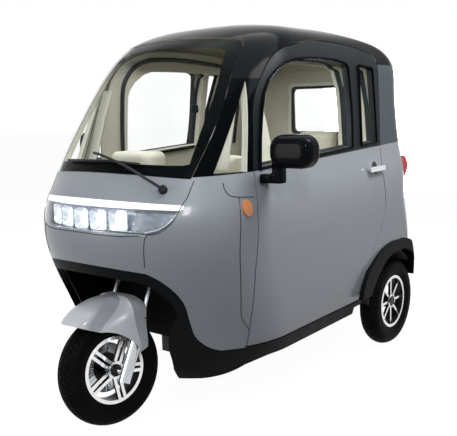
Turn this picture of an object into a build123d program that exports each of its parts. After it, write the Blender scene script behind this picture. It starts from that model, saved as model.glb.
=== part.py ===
from build123d import *
from math import atan2, cos, degrees, radians, sin, sqrt
import os

os.makedirs("parts", exist_ok=True)

# Enclosed three-wheeled electric cabin car. Millimetres, origin on the floor under the middle.
# +Z is up, -Y is the front and +X is the driver's left.

# ---- driving dimensions -------------------------------------------------------------------
FRONT_AXLE_Y = -735
REAR_AXLE_Y = 760
TYRE_RADIUS = 223
TYRE_WIDTH = 104
RIM_RADIUS = 140
RIM_WIDTH = 78
REAR_TRACK_HALF = 468

WALL = 26  # a side wall or a door, from skin to trim
GLASS = 5
GLASS_SET_BACK = 5  # the panes sit this far inside the skin
DOOR_GAP = 6  # round the doors
SEAM = 3  # between fixed panels
MOVING_CLEARANCE = 8

FLOOR_TOP = 290
FLOOR_PLATE = 24
SILL_TOP = 316
SHELL_BOTTOM = 185
FLOOR_BOTTOM = 252
BELT_FRONT = 992
BELT_REAR = 1034
BELT_FRONT_Y = -640
BELT_REAR_Y = 640

RAKE = 26.5  # steering axis, degrees back from upright
STEER_FOOT_Y = -815  # where the steering axis meets the floor
STEER_REST = -11  # degrees: the way the parked car's front wheel is turned
FORK_HALF = 118
LEG_RADIUS = 13
CROWN_HEIGHT = 655  # along the steering axis
GRIP_HALF = 330
GRIP_BACK = 60

# ---- body sections ------------------------------------------------------------------------
# One row per level: height, nose y, half width, tail y, nose radius, nose corner radius, tail
# corner radius, and the share of a wall's thickness that goes down instead of in.
BODY = [
    (160, -622, 482, 974, 560, 440, 70, 0.0),
    (300, -690, 504, 979, 560, 440, 70, 0.0),
    (440, -752, 524, 981, 556, 440, 75, 0.0),
    (620, -836, 532, 981, 553, 440, 100, 0.0),
    (800, -867, 534, 980, 556, 437, 172, 0.0),
    (900, -833, 524, 980, 557, 437, 152, 0.0),
    (1000, -769, 503, 980, 599, 419, 156, 0.0),
    (1160, -659, 486, 977, 660, 390, 178, 0.0),
    (1320, -527, 470, 974, 700, 339, 160, 0.0),
    (1440, -412, 450, 960, 720, 310, 150, 0.1),
    (1492, -345, 426, 905, 730, 275, 150, 0.4),
    (1531, -268, 396, 775, 720, 245, 160, 0.7),
    (1558, -190, 352, 610, 700, 220, 170, 0.9),
    (1577, -110, 290, 465, 670, 190, 150, 1.0),
    (1589, -30, 210, 350, 640, 150, 120, 1.0),
    (1595, 50, 115, 260, 600, 90, 80, 1.0),
]
TAIL_RADIUS = 2500


def blend_corner(x, y, corner, middle_y, big_radius, facing):
    """The joint and the middle of a corner arc between a big arc round (0, middle_y) and a side."""
    reach = big_radius / (big_radius - corner)
    joint = (x * reach, middle_y + (y - middle_y) * reach)
    turn = atan2(facing * (joint[1] - y), joint[0] - x) / 2
    return joint, (x + corner * cos(turn), y + facing * corner * sin(turn))


def body_section(nose, half, tail, nose_radius, nose_corner, tail_corner):
    """One closed level: nose arc, corner, flank, corner and tail arc, the same on both sides."""
    nose_mid = nose + nose_radius
    nose_x = half - nose_corner
    nose_y = nose_mid - sqrt((nose_radius - nose_corner) ** 2 - nose_x**2)
    front, front_mid = blend_corner(nose_x, nose_y, nose_corner, nose_mid, nose_radius, -1)
    tail_mid = tail - TAIL_RADIUS
    tail_x = half - tail_corner
    tail_y = tail_mid + sqrt((TAIL_RADIUS - tail_corner) ** 2 - tail_x**2)
    back, back_mid = blend_corner(tail_x, tail_y, tail_corner, tail_mid, TAIL_RADIUS, 1)
    ThreePointArc((-front[0], front[1]), (0, nose), front)
    ThreePointArc(front, front_mid, (half, nose_y))
    Line((half, nose_y), (half, tail_y))
    ThreePointArc((half, tail_y), back_mid, back)
    ThreePointArc(back, (0, tail), (-back[0], back[1]))
    ThreePointArc((-back[0], back[1]), (-back_mid[0], back_mid[1]), (-half, tail_y))
    Line((-half, tail_y), (-half, nose_y))
    ThreePointArc((-half, nose_y), (-front_mid[0], front_mid[1]), (-front[0], front[1]))


def body_loft(inset):
    """The closed body form with its walls moved in by inset."""
    with BuildPart() as form:
        for level, nose, half, tail, nose_radius, nose_corner, tail_corner, drop in BODY:
            side = inset * (1 - 0.6 * drop)
            with BuildSketch(Plane.XY.offset(level - inset * drop)):
                with BuildLine():
                    body_section(
                        nose + side,
                        half - side,
                        tail - side,
                        nose_radius - side,
                        nose_corner - side,
                        tail_corner - side,
                    )
                make_face()
        loft()
    return form.part


def prism(outline, plane, start, end, grow=0):
    """A straight prism of a closed outline: points, or (point, through) pairs for arcs."""
    with BuildPart() as solid:
        with BuildSketch(plane.offset(start)):
            with BuildLine():
                corners = [step[0] if isinstance(step[0], tuple) else step for step in outline]
                for index, step in enumerate(outline):
                    last = corners[index - 1]
                    if isinstance(step[0], tuple):
                        ThreePointArc(last, step[1], step[0])
                    else:
                        Line(last, step)
            make_face()
            if grow:
                offset(amount=grow)
        extrude(amount=end - start)
    return solid.part


def block(x, y, z):
    """A box from three (low, high) pairs."""
    with BuildPart() as solid:
        with BuildSketch(Plane.XY.offset(z[0])):
            with Locations(((x[0] + x[1]) / 2, (y[0] + y[1]) / 2)):
                Rectangle(x[1] - x[0], y[1] - y[0])
        extrude(amount=z[1] - z[0])
    return solid.part


def carve(blank, cutters, keep=()):
    """The blank inside every solid of keep and outside every cutter."""
    with BuildPart() as piece:
        add(blank)
        for solid in keep:
            add(solid, mode=Mode.INTERSECT)
        for solid in cutters:
            add(solid, mode=Mode.SUBTRACT)
    return piece.part


def save(solid, name):
    """Label one finished piece and write it."""
    solid.label = name
    export_step(solid, f"parts/{name}.step")


def save_pair(solid, name):
    """Write a left piece and its mirror image for the right; a name has {} where the side goes."""
    save(solid, name.format("left"))
    with BuildPart() as other:
        mirror(solid, about=Plane.YZ)
    save(other.part, name.format("right"))


# ---- body forms ---------------------------------------------------------------------------
FAR = 1400
SIDE = (200, 700)  # how far a side prism reaches along X
SCREEN_SET_BACK = 1
LENS_COVER = 4

outer_form = body_loft(0)
inner_form = body_loft(WALL)
above_floor = block((-FAR, FAR), (-FAR, FAR), (SHELL_BOTTOM, 2 * FAR))
shell = carve(outer_form, [inner_form], [above_floor])


def pane(hole, set_back):
    """A pane that fills a hole in the shell, set back from the skin."""
    return carve(body_loft(set_back), [body_loft(set_back + GLASS)], [hole])


# ---- outlines -----------------------------------------------------------------------------
# Side outlines are (y, z) on Plane.YZ and front outlines are (x, z) on Plane.XZ.


def belt(y):
    """The height of the belt line, which rises to the rear."""
    rise = (BELT_REAR - BELT_FRONT) / (BELT_REAR_Y - BELT_FRONT_Y)
    return BELT_FRONT + rise * (y - BELT_FRONT_Y)


DOOR = [
    (-440, SILL_TOP + DOOR_GAP),
    (-455, 640),
    (-440, 850),
    (-415, 1000),
    (-372, 1165),
    ((-262, 1367), (-330, 1278)),
    ((-60, 1476), (-177, 1440)),
    ((341, 1505), (140, 1506)),
    ((620, 1466), (480, 1493)),
    ((660, 1420), (652, 1450)),
    (613, 1034),
    ((606, 760), (598, 900)),
    ((531, 609), (590, 690)),
    ((399, 413), (460, 508)),
    (378, SILL_TOP + DOOR_GAP),
]
DOOR_WINDOW = [
    (-387, 1012),
    (-322, 1224),
    ((-147, 1400), (-250, 1337)),
    ((181, 1426), (10, 1424)),
    ((330, 1412), (260, 1424)),
    ((350, 1385), (347, 1402)),
    (350, 1209),
    (336, 1046),
]
SMALL_WINDOW = [
    (430, 1048),
    (462, 1396),
    ((474, 1408), (465, 1405)),
    (576, 1398),
    ((588, 1386), (585, 1395)),
    (576, 1053),
]
SIDE_GLASS = [
    (-574, 1000),
    (-346, 1336),
    (-450, 1000),
]
ARCH_OUTER = [
    (352, FLOOR_BOTTOM - 40),
    (352, 340),
    ((468, 477), (395, 420)),
    ((765, 548), (610, 540)),
    ((990, 470), (900, 528)),
    (FAR, 470),
    (FAR, FLOOR_BOTTOM - 40),
]
ARCH_INNER = [
    (430, FLOOR_BOTTOM - 40),
    (430, 300),
    ((540, 430), (475, 378)),
    ((765, 492), (650, 486)),
    ((955, 400), (890, 470)),
    (957, FLOOR_BOTTOM - 40),
]
SCREEN = [
    ((374, 985), (0, 1008)),
    ((345, 1440), (384, 1215)),
    ((296, 1508), (337, 1488)),
    ((-296, 1508), (0, 1524)),
    ((-345, 1440), (-337, 1488)),
    ((-374, 985), (-384, 1215)),
]
STRIP = [
    ((377, 897), (0, 918)),
    ((368, 880), (378, 886)),
    ((-368, 880), (0, 893)),
    ((-377, 897), (-378, 886)),
]
LENS = [
    ((368, 880), (0, 893)),
    ((275, 792), (340, 814)),
    ((-275, 792), (0, 806)),
    ((-368, 880), (-340, 814)),
]
MOUTH = [
    (400, 150),
    (400, SILL_TOP),
    ((340, 400), (355, 350)),
    (346, 480),
    ((265, 652), (325, 595)),
    ((-265, 652), (0, 676)),
    ((-346, 480), (-325, 595)),
    (-340, 400),
    ((-400, SILL_TOP), (-355, 350)),
    (-400, 150),
]
MOUTH_INNER = [
    (236, 150),
    (236, 300),
    ((312, 470), (260, 390)),
    ((240, 612), (292, 566)),
    ((-240, 612), (0, 634)),
    ((-312, 470), (-292, 566)),
    ((-236, 300), (-260, 390)),
    (-236, 150),
]
SILL_LINE = [
    (-FAR, 190),
    (-540, 189),
    ((-418, 233), (-482, 202)),
    ((-318, 255), (-370, 246)),
    (FAR, 255),
    (FAR, 1000),
    (-FAR, 1000),
]
BUMPER_HALF = 275
BONNET_HALF = 374
NOSE_BACK = 440  # the nose panels lie ahead of this
PILLAR_TOP = 1345
ROOF_SEAM = 1419
REAR_WINDOW_HALF = 210
REAR_WINDOW_LOW = 1078
REAR_WINDOW_HIGH = 1330
TAIL_PANEL_HALF = 330
BUMPER_TOP = 470
SILL_END_Y = 420
LAMP_DEPTH = 46
MIRROR_X = 655
MIRROR_Z = 1075
MIRROR_WIDTH = 180
MIRROR_TALL = 122
MIRROR_DEEP = 80
MIRROR_FRONT = 440
MIRROR_FOOT = (58, 62)
MIRROR_FOOT_X = 535
MIRROR_FOOT_Y = -380
MIRROR_FOOT_Z = 955
MIRROR_FOOT_TALL = 34
MIRROR_ARM = (44, 46)
MIRROR_ARM_X = 580
MIRROR_FOLD = 48  # degrees: the right mirror stands partly folded back
MIRROR_RIGHT_BACK = 115
HANDLE_X = 528
HANDLE_Y = 512
HANDLE_Z = 931
HANDLE_LONG = 150
HANDLE_TALL = 24
HANDLE_THICK = 14
TAIL_LAMP = [  # how far out along the corner's diagonal, and height
    (895, 850),
    (946, 852),
    ((965, 922), (959, 886)),
    (952, 962),
    (895, 975),
]
TAIL_LAMP_PLACE = -412  # across the diagonal
TAIL_LAMP_HALF = 36
INDICATOR = (20, 30)
INDICATOR_Y = -490
INDICATOR_Z = 872
# One row per level of the trim band: height, half width, tail y and corner radius.
FLARE = [
    (330, 548, 982, 72),
    (460, 546, 982, 74),
    (560, 534, 980, 98),
]
FLARE_LONG = 1400
FLARE_WALL = 22
FLARE_BOTTOM = 330
PLATE_BOLTS = 150
PLATE_Z = 400
PLATE_HOLE_RADIUS = 3.25
BULKHEAD_Y = -400
TUB_INNER = 392
TUB_OUTER = 500
TUB_RADIUS = 262
TUB_WALL = 6
TAIL_INNER_Y = 948
LINER_HALF = 360
LINER_WALL = 8
LINER_TOP = 668
DASH_HALF = 420
DASH_BACK_Y = -470
HOOD_FRONT_Y = -600
HOOD_X = 6
HOOD_WIDTH = 220
HOOD_BOTTOM = 900
HOOD_TOP = 1072
SLIDER_RADIUS = 24
SLIDER_LONG = 190
AXLE_RADIUS = 9
COLUMN_RADIUS = 19
COLUMN_HOLE = 50
COLUMN_TOP = 1000
GRIP_RADIUS = 16
GUARD_WALL = 4
# One row per level above the axle: up, front, nose half width, crease, tail half width and back.
GUARD = [
    (60, 205, 84, -75, 138, 118),
    (205, 187, 84, -52, 138, 118),
    (235, 164, 82, -12, 134, 112),
    (262, 124, 74, 22, 122, 104),
    (280, 82, 58, 38, 100, 94),
    (291, 30, 30, 45, 60, 80),
]
GUARD_NOSE = 0.83  # how round the nose is: its depth over its half width
GUARD_FLARE = 50  # the sides are widest from here back
GUARD_FLARE_STEP = 4
GUARD_SIDE = [
    (-220, 235),
    (-79, 176),
    ((51, 78), (14, 138)),
    (81, 94),
    (101, 197),
    (112, 245),
    (112, 420),
    (-220, 420),
]
HUB_BACK = -34
HUB_RADIUS = 36
FRONT_FACE = 44
REAR_FACE = 30
SPOKE_DEEP = 16
DISC_RADIUS = 95
AXLE_TUBE_HALF = 370
AXLE_TUBE_RADIUS = 26
MOTOR_HALF = 110
MOTOR_RADIUS = 85
SPRING_X = 300
SPRING_WIDTH = 44
DECK_Y = 540
DECK_TOP = 346
DECK_PLATE = 20

above_belt = prism(
    [
        (-FAR, belt(-FAR)),
        (FAR, belt(FAR)),
        (FAR, 2 * FAR),
        (-FAR, 2 * FAR),
    ],
    Plane.YZ,
    -FAR,
    FAR,
)
above_sill = block((-FAR, FAR), (-FAR, FAR), (SILL_TOP, 2 * FAR))
door_solid = prism(DOOR, Plane.YZ, *SIDE)
door_hole = prism(DOOR, Plane.YZ, *SIDE, grow=DOOR_GAP)
window_hole = prism(DOOR_WINDOW, Plane.YZ, *SIDE)
small_hole = prism(SMALL_WINDOW, Plane.YZ, *SIDE)
side_glass_hole = prism(SIDE_GLASS, Plane.YZ, *SIDE)
arch_outer = prism(ARCH_OUTER, Plane.YZ, *SIDE)
arch_inner = prism(ARCH_INNER, Plane.YZ, *SIDE)
screen_hole = prism(SCREEN, Plane.XZ, 150, FAR)
strip_hole = prism(STRIP, Plane.XZ, NOSE_BACK, FAR)
lens_hole = prism(LENS, Plane.XZ, NOSE_BACK, FAR)
mouth_hole = prism(MOUTH, Plane.XZ, NOSE_BACK, FAR)
mouth_inner = prism(MOUTH_INNER, Plane.XZ, NOSE_BACK, FAR)
bonnet_zone = block((-BONNET_HALF, BONNET_HALF), (-FAR, -NOSE_BACK), (897, 1100))
bumper_zone = block((-BUMPER_HALF, BUMPER_HALF), (-FAR, -NOSE_BACK), (560, 806))
with BuildPart() as right_door_hole:
    mirror(door_hole, about=Plane.YZ)
door_holes = [door_hole, right_door_hole.part]
with BuildPart() as right_arch_hole:
    mirror(arch_outer, about=Plane.YZ)
right_arch = [right_arch_hole.part]
with BuildPart() as rear_window_hole:
    with BuildSketch(Plane.XZ.offset(-FAR)):
        with Locations((0, (REAR_WINDOW_LOW + REAR_WINDOW_HIGH) / 2)):
            RectangleRounded(2 * REAR_WINDOW_HALF, REAR_WINDOW_HIGH - REAR_WINDOW_LOW, 34)
    extrude(amount=FAR - 700)

# ---- fixed panels -------------------------------------------------------------------------
ring = carve(shell, [*door_holes, screen_hole], [above_belt])
pillar_zone = block((0, FAR), (-FAR, -200), (900, PILLAR_TOP))
pillar = carve(ring, [side_glass_hole, bonnet_zone], [pillar_zone])
save_pair(pillar, "pillar_{}")
rear_zone = block((-FAR, FAR), (200, FAR), (900, ROOF_SEAM))
rear_upper = carve(ring, [rear_window_hole.part], [rear_zone])
save(rear_upper, "rear_upper_panel")
front_roof = block((-FAR, FAR), (-FAR, 200), (PILLAR_TOP, 2 * FAR))
rear_roof = block((-FAR, FAR), (200, FAR), (ROOF_SEAM, 2 * FAR))
with BuildPart() as roof:
    add(front_roof)
    add(rear_roof)
    add(ring, mode=Mode.INTERSECT)
save(roof.part, "roof")

save(pane(screen_hole, SCREEN_SET_BACK), "windscreen")
save(pane(rear_window_hole.part, GLASS_SET_BACK), "rear_window")
save_pair(pane(side_glass_hole, GLASS_SET_BACK), "side_glass_{}")

lower = carve(shell, [above_belt, *door_holes], [above_sill])
nose_cuts = [screen_hole, strip_hole, lens_hole, mouth_hole]
front_zone = block((0, FAR), (-FAR, 0), (0, FAR))
front_side = carve(lower, [*nose_cuts, bonnet_zone, bumper_zone], [front_zone])
save_pair(front_side, "front_side_{}")
save(carve(shell, [screen_hole, strip_hole, lens_hole], [bonnet_zone]), "bonnet")
save(carve(shell, [lens_hole, mouth_hole], [bumper_zone]), "front_bumper")
save(carve(shell, [], [strip_hole]), "light_strip")
save(carve(outer_form, [body_loft(LENS_COVER)], [lens_hole]), "headlamp_cover")
save(carve(body_loft(LAMP_DEPTH), [body_loft(LAMP_DEPTH + 6)], [lens_hole]), "headlamp_housing")

quarter_zone = block((TAIL_PANEL_HALF, FAR), (250, FAR), (0, FAR))
save_pair(carve(lower, [arch_outer], [quarter_zone]), "quarter_{}")
tail_zone = block((-TAIL_PANEL_HALF, TAIL_PANEL_HALF), (250, FAR), (BUMPER_TOP, FAR))
save(carve(lower, [], [tail_zone]), "tail_panel")

low_zone = block((-FAR, FAR), (-FAR, SILL_END_Y), (SHELL_BOTTOM, SILL_TOP))
sill_line = prism(SILL_LINE, Plane.YZ, -FAR, FAR)
with BuildPart() as cladding:
    add(carve(shell, [mouth_inner], [mouth_hole, sill_line]))
    add(carve(shell, [mouth_inner, arch_outer, *right_arch], [low_zone, sill_line]))
save(cladding.part, "lower_cladding")

# ---- doors --------------------------------------------------------------------------------
door_blank = carve(shell, [], [door_solid])
save_pair(carve(door_blank, [above_belt]), "door_{}_panel")
save_pair(carve(door_blank, [window_hole, small_hole], [above_belt]), "door_{}_frame")
save_pair(pane(window_hole, GLASS_SET_BACK), "door_{}_window")
save_pair(pane(small_hole, GLASS_SET_BACK), "door_{}_small_window")

with BuildPart() as mirror_housing:
    with BuildSketch(Plane.XZ.offset(MIRROR_FRONT)):
        with Locations((MIRROR_X, MIRROR_Z)):
            RectangleRounded(MIRROR_WIDTH, MIRROR_TALL, 52)
    extrude(amount=-MIRROR_DEEP)
    fillet(mirror_housing.edges().group_by(Axis.Y)[0], 34)
    fillet(mirror_housing.edges().group_by(Axis.Y)[-1], 8)
with BuildPart() as mirror_arm:
    with BuildSketch(Plane.XY.offset(MIRROR_FOOT_Z)):
        with Locations((MIRROR_FOOT_X, MIRROR_FOOT_Y)):
            RectangleRounded(*MIRROR_FOOT, 14)
    extrude(amount=MIRROR_FOOT_TALL)
    with BuildSketch(Plane.XY.offset(MIRROR_FOOT_Z)):
        with Locations((MIRROR_ARM_X, MIRROR_FOOT_Y)):
            RectangleRounded(*MIRROR_ARM, 10)
    extrude(amount=MIRROR_Z - MIRROR_FOOT_Z)
    add(outer_form, mode=Mode.SUBTRACT)
with BuildPart() as open_mirror:
    add(mirror_arm.part)
    add(mirror_housing.part)
save(open_mirror.part, "mirror_left")
fold_axis = Axis((MIRROR_ARM_X, MIRROR_FOOT_Y, 0), (0, 0, 1))
with BuildPart() as folded_mirror:
    add(mirror_arm.part)
    add(mirror_housing.part.rotate(fold_axis, MIRROR_FOLD))
set_back_mirror = carve(folded_mirror.part.moved(Location((0, MIRROR_RIGHT_BACK, 0))), [outer_form])
with BuildPart() as right_mirror:
    mirror(set_back_mirror, about=Plane.YZ)
save(right_mirror.part, "mirror_right")

with BuildPart() as handle:
    with BuildSketch(Plane.YZ.offset(HANDLE_X)):
        with Locations((HANDLE_Y, HANDLE_Z)):
            RectangleRounded(HANDLE_LONG, HANDLE_TALL, 9)
    extrude(amount=HANDLE_THICK)
    with BuildSketch(Plane.YZ.offset(HANDLE_X - 24)):
        with Locations((HANDLE_Y + HANDLE_LONG / 2 - 22, HANDLE_Z)):
            Rectangle(24, 16)
    extrude(amount=30)
    add(outer_form, mode=Mode.SUBTRACT)
save_pair(handle.part, "handle_{}")

# ---- lamps and plate ----------------------------------------------------------------------
corner_plane = Plane((0, 0, 0), x_dir=(0.78, 0.625, 0), z_dir=(0.625, -0.78, 0))
tail_lamp = prism(
    TAIL_LAMP,
    corner_plane,
    TAIL_LAMP_PLACE - TAIL_LAMP_HALF,
    TAIL_LAMP_PLACE + TAIL_LAMP_HALF,
)
save_pair(carve(tail_lamp, [outer_form]), "tail_lamp_{}")
with BuildPart() as indicator:
    with BuildSketch(Plane.YZ.offset(400)):
        with Locations((INDICATOR_Y, INDICATOR_Z)):
            Ellipse(*INDICATOR)
    extrude(amount=200)
save_pair(carve(body_loft(-7), [outer_form], [indicator.part]), "indicator_{}")

# ---- arch trims and rear bumper -----------------------------------------------------------


def flare(inset):
    """The square-cornered band round the rear wheels and the tail, moved in by inset."""
    with BuildPart() as band:
        for level, half, tail, corner in FLARE:
            with BuildSketch(Plane.XY.offset(level)):
                with Locations((0, tail - FLARE_LONG / 2)):
                    RectangleRounded(
                        2 * (half - inset), FLARE_LONG - 2 * inset, corner - inset
                    )
        loft()
    return band.part


band = carve(flare(0), [flare(FLARE_WALL)])
arch_side = block((TAIL_PANEL_HALF, FAR), (200, FAR), (FLOOR_BOTTOM, 700))
save_pair(carve(band, [arch_inner], [arch_side, arch_outer]), "arch_trim_{}")
tail_band = block((-TAIL_PANEL_HALF, TAIL_PANEL_HALF), (700, FAR), (FLARE_BOTTOM, BUMPER_TOP))
with BuildPart() as plate_holes:
    with BuildSketch(Plane.XZ.offset(-FAR)):
        with GridLocations(PLATE_BOLTS, 0, 2, 1):
            with Locations((0, PLATE_Z)):
                Circle(PLATE_HOLE_RADIUS)
    extrude(amount=FAR)
save(carve(band, [plate_holes.part], [tail_band]), "rear_bumper")

# ---- floor, wheel housings and bulkhead ----------------------------------------------------
inside = body_loft(WALL + SEAM)
tub_box = block((TUB_INNER - TUB_WALL, FAR), (REAR_AXLE_Y - TUB_RADIUS - TUB_WALL, FAR), (0, FAR))
with BuildPart() as right_tub_box:
    mirror(tub_box, about=Plane.YZ)
with BuildPart() as tub:
    with BuildSketch(Plane.YZ.offset(TUB_INNER - TUB_WALL)):
        with Locations((REAR_AXLE_Y, TYRE_RADIUS)):
            Circle(TUB_RADIUS + TUB_WALL)
    extrude(amount=TUB_OUTER - TUB_INNER + TUB_WALL)
    with BuildSketch(Plane.YZ.offset(TUB_INNER)):
        with Locations((REAR_AXLE_Y, TYRE_RADIUS)):
            Circle(TUB_RADIUS)
    extrude(amount=TUB_OUTER - TUB_INNER, mode=Mode.SUBTRACT)
    add(block((0, FAR), (0, TAIL_INNER_Y), (FLOOR_TOP - FLOOR_PLATE, 700)), mode=Mode.INTERSECT)
with BuildPart() as floor:
    add(block((-FAR, FAR), (BULKHEAD_Y, DECK_Y), (FLOOR_TOP - FLOOR_PLATE, FLOOR_TOP)))
    add(block((-FAR, FAR), (DECK_Y - DECK_PLATE, DECK_Y), (FLOOR_TOP - FLOOR_PLATE, DECK_TOP)))
    add(block((-FAR, FAR), (DECK_Y, TAIL_INNER_Y), (DECK_TOP - DECK_PLATE, DECK_TOP)))
    add(inside, mode=Mode.INTERSECT)
    add(tub_box, mode=Mode.SUBTRACT)
    add(right_tub_box.part, mode=Mode.SUBTRACT)
    add(tub.part)
    mirror(tub.part, about=Plane.YZ)
save(floor.part, "floor")

liner_box = block((-LINER_HALF, LINER_HALF), (-FAR, BULKHEAD_Y), (FLOOR_TOP - FLOOR_PLATE, LINER_TOP))
liner_well = block(
    (LINER_WALL - LINER_HALF, LINER_HALF - LINER_WALL),
    (-FAR, BULKHEAD_Y - LINER_WALL),
    (0, LINER_TOP - LINER_WALL),
)
with BuildPart() as steering_hole:
    with BuildSketch(Plane((0, STEER_FOOT_Y, 0), z_dir=(0, sin(radians(RAKE)), cos(radians(RAKE))))):
        Circle(COLUMN_HOLE)
    extrude(amount=FAR)
save(carve(inside, [liner_well, steering_hole.part], [liner_box]), "front_liner")

# ---- dash, seats and battery ---------------------------------------------------------------
dash_side = [
    (-790, LINER_TOP + 2),
    (-790, 930),
    (-600, 944),
    ((-500, 905), (-530, 940)),
    (-490, 790),
    (-560, LINER_TOP + 2),
]
dash_zone = prism(dash_side, Plane.YZ, -DASH_HALF, DASH_HALF)
dash_blank = carve(body_loft(LAMP_DEPTH + 14), [steering_hole.part], [dash_zone])
with BuildPart() as dash:
    with BuildSketch(Plane.XY.offset(HOOD_BOTTOM)):
        with Locations((HOOD_X, (DASH_BACK_Y + HOOD_FRONT_Y) / 2)):
            RectangleRounded(HOOD_WIDTH, DASH_BACK_Y - HOOD_FRONT_Y, 40)
    extrude(amount=HOOD_TOP - HOOD_BOTTOM)
    fillet(dash.edges().group_by(Axis.Z)[-1], 26)
    add(dash_blank)
save(dash.part, "dash")


def cushion(x, y, z, corner, name):
    """A plain rounded block that stands for one seat cushion."""
    with BuildPart() as pad:
        with BuildSketch(Plane.XY.offset(z[0])):
            with Locations(((x[0] + x[1]) / 2, (y[0] + y[1]) / 2)):
                RectangleRounded(x[1] - x[0], y[1] - y[0], corner)
        extrude(amount=z[1] - z[0])
    save(pad.part, name)


# One row per cushion: x, y and z ranges, corner radius and name.
CUSHIONS = [
    ((-225, 225), (-290, 28), (470, 560), 40, "driver_seat_cushion"),
    ((-215, 215), (30, 110), (470, 900), 30, "driver_seat_back"),
    ((-94, 94), (30, 100), (901, 1014), 30, "driver_headrest"),
    ((-370, 370), (520, 836), (450, 540), 30, "rear_bench_cushion"),
    ((-340, 340), (838, 910), (505, 960), 30, "rear_bench_back"),
    ((-122, 122), (842, 908), (961, 1090), 30, "rear_headrest"),
]
save(block((-210, 210), (-250, 60), (FLOOR_TOP, 470)), "driver_seat_base")
save(block((-370, 370), (DECK_Y + 4, 900), (DECK_TOP, 450)), "rear_bench_base")
for x, y, z, corner, name in CUSHIONS:
    cushion(x, y, z, corner, name)
save(block((-180, 180), (-250, 60), (120, FLOOR_TOP - FLOOR_PLATE)), "battery_box")

# ---- steering ------------------------------------------------------------------------------
steer = Plane(
    origin=(0, STEER_FOOT_Y, 0),
    x_dir=(cos(radians(STEER_REST)), sin(radians(STEER_REST)) * cos(radians(RAKE)),
           -sin(radians(STEER_REST)) * sin(radians(RAKE))),
    z_dir=(0, sin(radians(RAKE)), cos(radians(RAKE))),
)
axle_up = (FRONT_AXLE_Y - STEER_FOOT_Y) * sin(radians(RAKE)) + TYRE_RADIUS * cos(radians(RAKE))
axle_back = (FRONT_AXLE_Y - STEER_FOOT_Y) * cos(radians(RAKE)) - TYRE_RADIUS * sin(radians(RAKE))
front_axle = steer.from_local_coords((0, axle_back, axle_up))
front_hub = Plane(origin=front_axle, x_dir=steer.z_dir, z_dir=steer.x_dir)
rear_hub = Plane(origin=(REAR_TRACK_HALF, REAR_AXLE_Y, TYRE_RADIUS), x_dir=(0, 0, 1), z_dir=(1, 0, 0))

with BuildPart() as fork:
    with BuildSketch(steer.offset(axle_up)):
        with Locations((FORK_HALF, axle_back), (-FORK_HALF, axle_back)):
            Circle(LEG_RADIUS)
    extrude(amount=CROWN_HEIGHT - axle_up)
    with BuildSketch(steer.offset(axle_up - 34)):
        with Locations((FORK_HALF, axle_back), (-FORK_HALF, axle_back)):
            Circle(SLIDER_RADIUS)
    extrude(amount=SLIDER_LONG)
    with BuildSketch(steer.offset(CROWN_HEIGHT - 30)):
        with Locations((0, axle_back / 2)):
            RectangleRounded(2 * FORK_HALF + 60, 76, 24)
    extrude(amount=30)
    with BuildSketch(front_hub.offset(-FORK_HALF)):
        Circle(AXLE_RADIUS)
    extrude(amount=2 * FORK_HALF)
save(fork.part, "fork")
with BuildPart() as column:
    with BuildSketch(steer.offset(CROWN_HEIGHT)):
        Circle(COLUMN_RADIUS)
    extrude(amount=COLUMN_TOP - CROWN_HEIGHT)
with BuildPart() as handlebar:
    add(column.part)
    with BuildSketch(Plane(steer.from_local_coords((-GRIP_HALF, GRIP_BACK, COLUMN_TOP + 30)),
                           z_dir=steer.x_dir)):
        Circle(GRIP_RADIUS)
    extrude(amount=2 * GRIP_HALF)
    with BuildSketch(steer.offset(COLUMN_TOP)):
        with Locations((0, GRIP_BACK / 2)):
            RectangleRounded(150, GRIP_BACK + 90, 20)
    extrude(amount=60)
save(handlebar.part, "handlebar")

guard_up = Plane(front_axle, x_dir=(-steer.x_dir.Y, steer.x_dir.X, 0), z_dir=steer.x_dir)
guard_level = Plane(front_axle, x_dir=guard_up.x_dir, z_dir=guard_up.y_dir)


def guard_form(inset):
    """The guard's closed form, moved in by inset; the inner one runs out past the back."""
    with BuildPart() as form:
        for up, front, nose, crease, tail, back in GUARD:
            nose_half = nose - inset
            nose_y = inset - front
            shoulder = nose_y + GUARD_NOSE * nose_half
            tail_half = tail - inset
            end = back + 10 * inset
            with BuildSketch(guard_level.offset(up - inset)):
                with BuildLine():
                    ThreePointArc((shoulder, -nose_half), (nose_y, 0), (shoulder, nose_half))
                    Polyline(
                        (shoulder, nose_half),
                        (crease, nose_half + GUARD_FLARE_STEP),
                        (GUARD_FLARE, tail_half),
                        (end, tail_half),
                        (end, -tail_half),
                        (GUARD_FLARE, -tail_half),
                        (crease, -nose_half - GUARD_FLARE_STEP),
                        (shoulder, -nose_half),
                    )
                make_face()
        loft(ruled=False)
    return form.part


guard_side = prism(GUARD_SIDE, guard_up, -FAR, FAR)
save(carve(guard_form(0), [guard_form(GUARD_WALL), fork.part], [guard_side]), "mudguard")

# ---- wheels --------------------------------------------------------------------------------


def tyre(hub):
    """A tyre round the Z axis of its hub plane."""
    section = Plane(origin=hub.origin, x_dir=hub.x_dir, z_dir=hub.y_dir)
    half = TYRE_WIDTH / 2
    bead = RIM_RADIUS - 6
    bead_half = RIM_WIDTH / 2
    with BuildPart() as ring:
        with BuildSketch(section):
            with BuildLine():
                Polyline((RIM_RADIUS, -bead_half), (bead, -bead_half), (bead, bead_half), (RIM_RADIUS, bead_half))
                ThreePointArc((RIM_RADIUS, bead_half), (bead + 38, half), (TYRE_RADIUS - 22, half - 6))
                ThreePointArc(
                    (TYRE_RADIUS - 22, half - 6), (TYRE_RADIUS, 0), (TYRE_RADIUS - 22, 6 - half)
                )
                ThreePointArc((TYRE_RADIUS - 22, 6 - half), (bead + 38, -half), (RIM_RADIUS, -bead_half))
            make_face()
        revolve(axis=Axis(hub.origin, hub.z_dir))
    return ring.part


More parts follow.
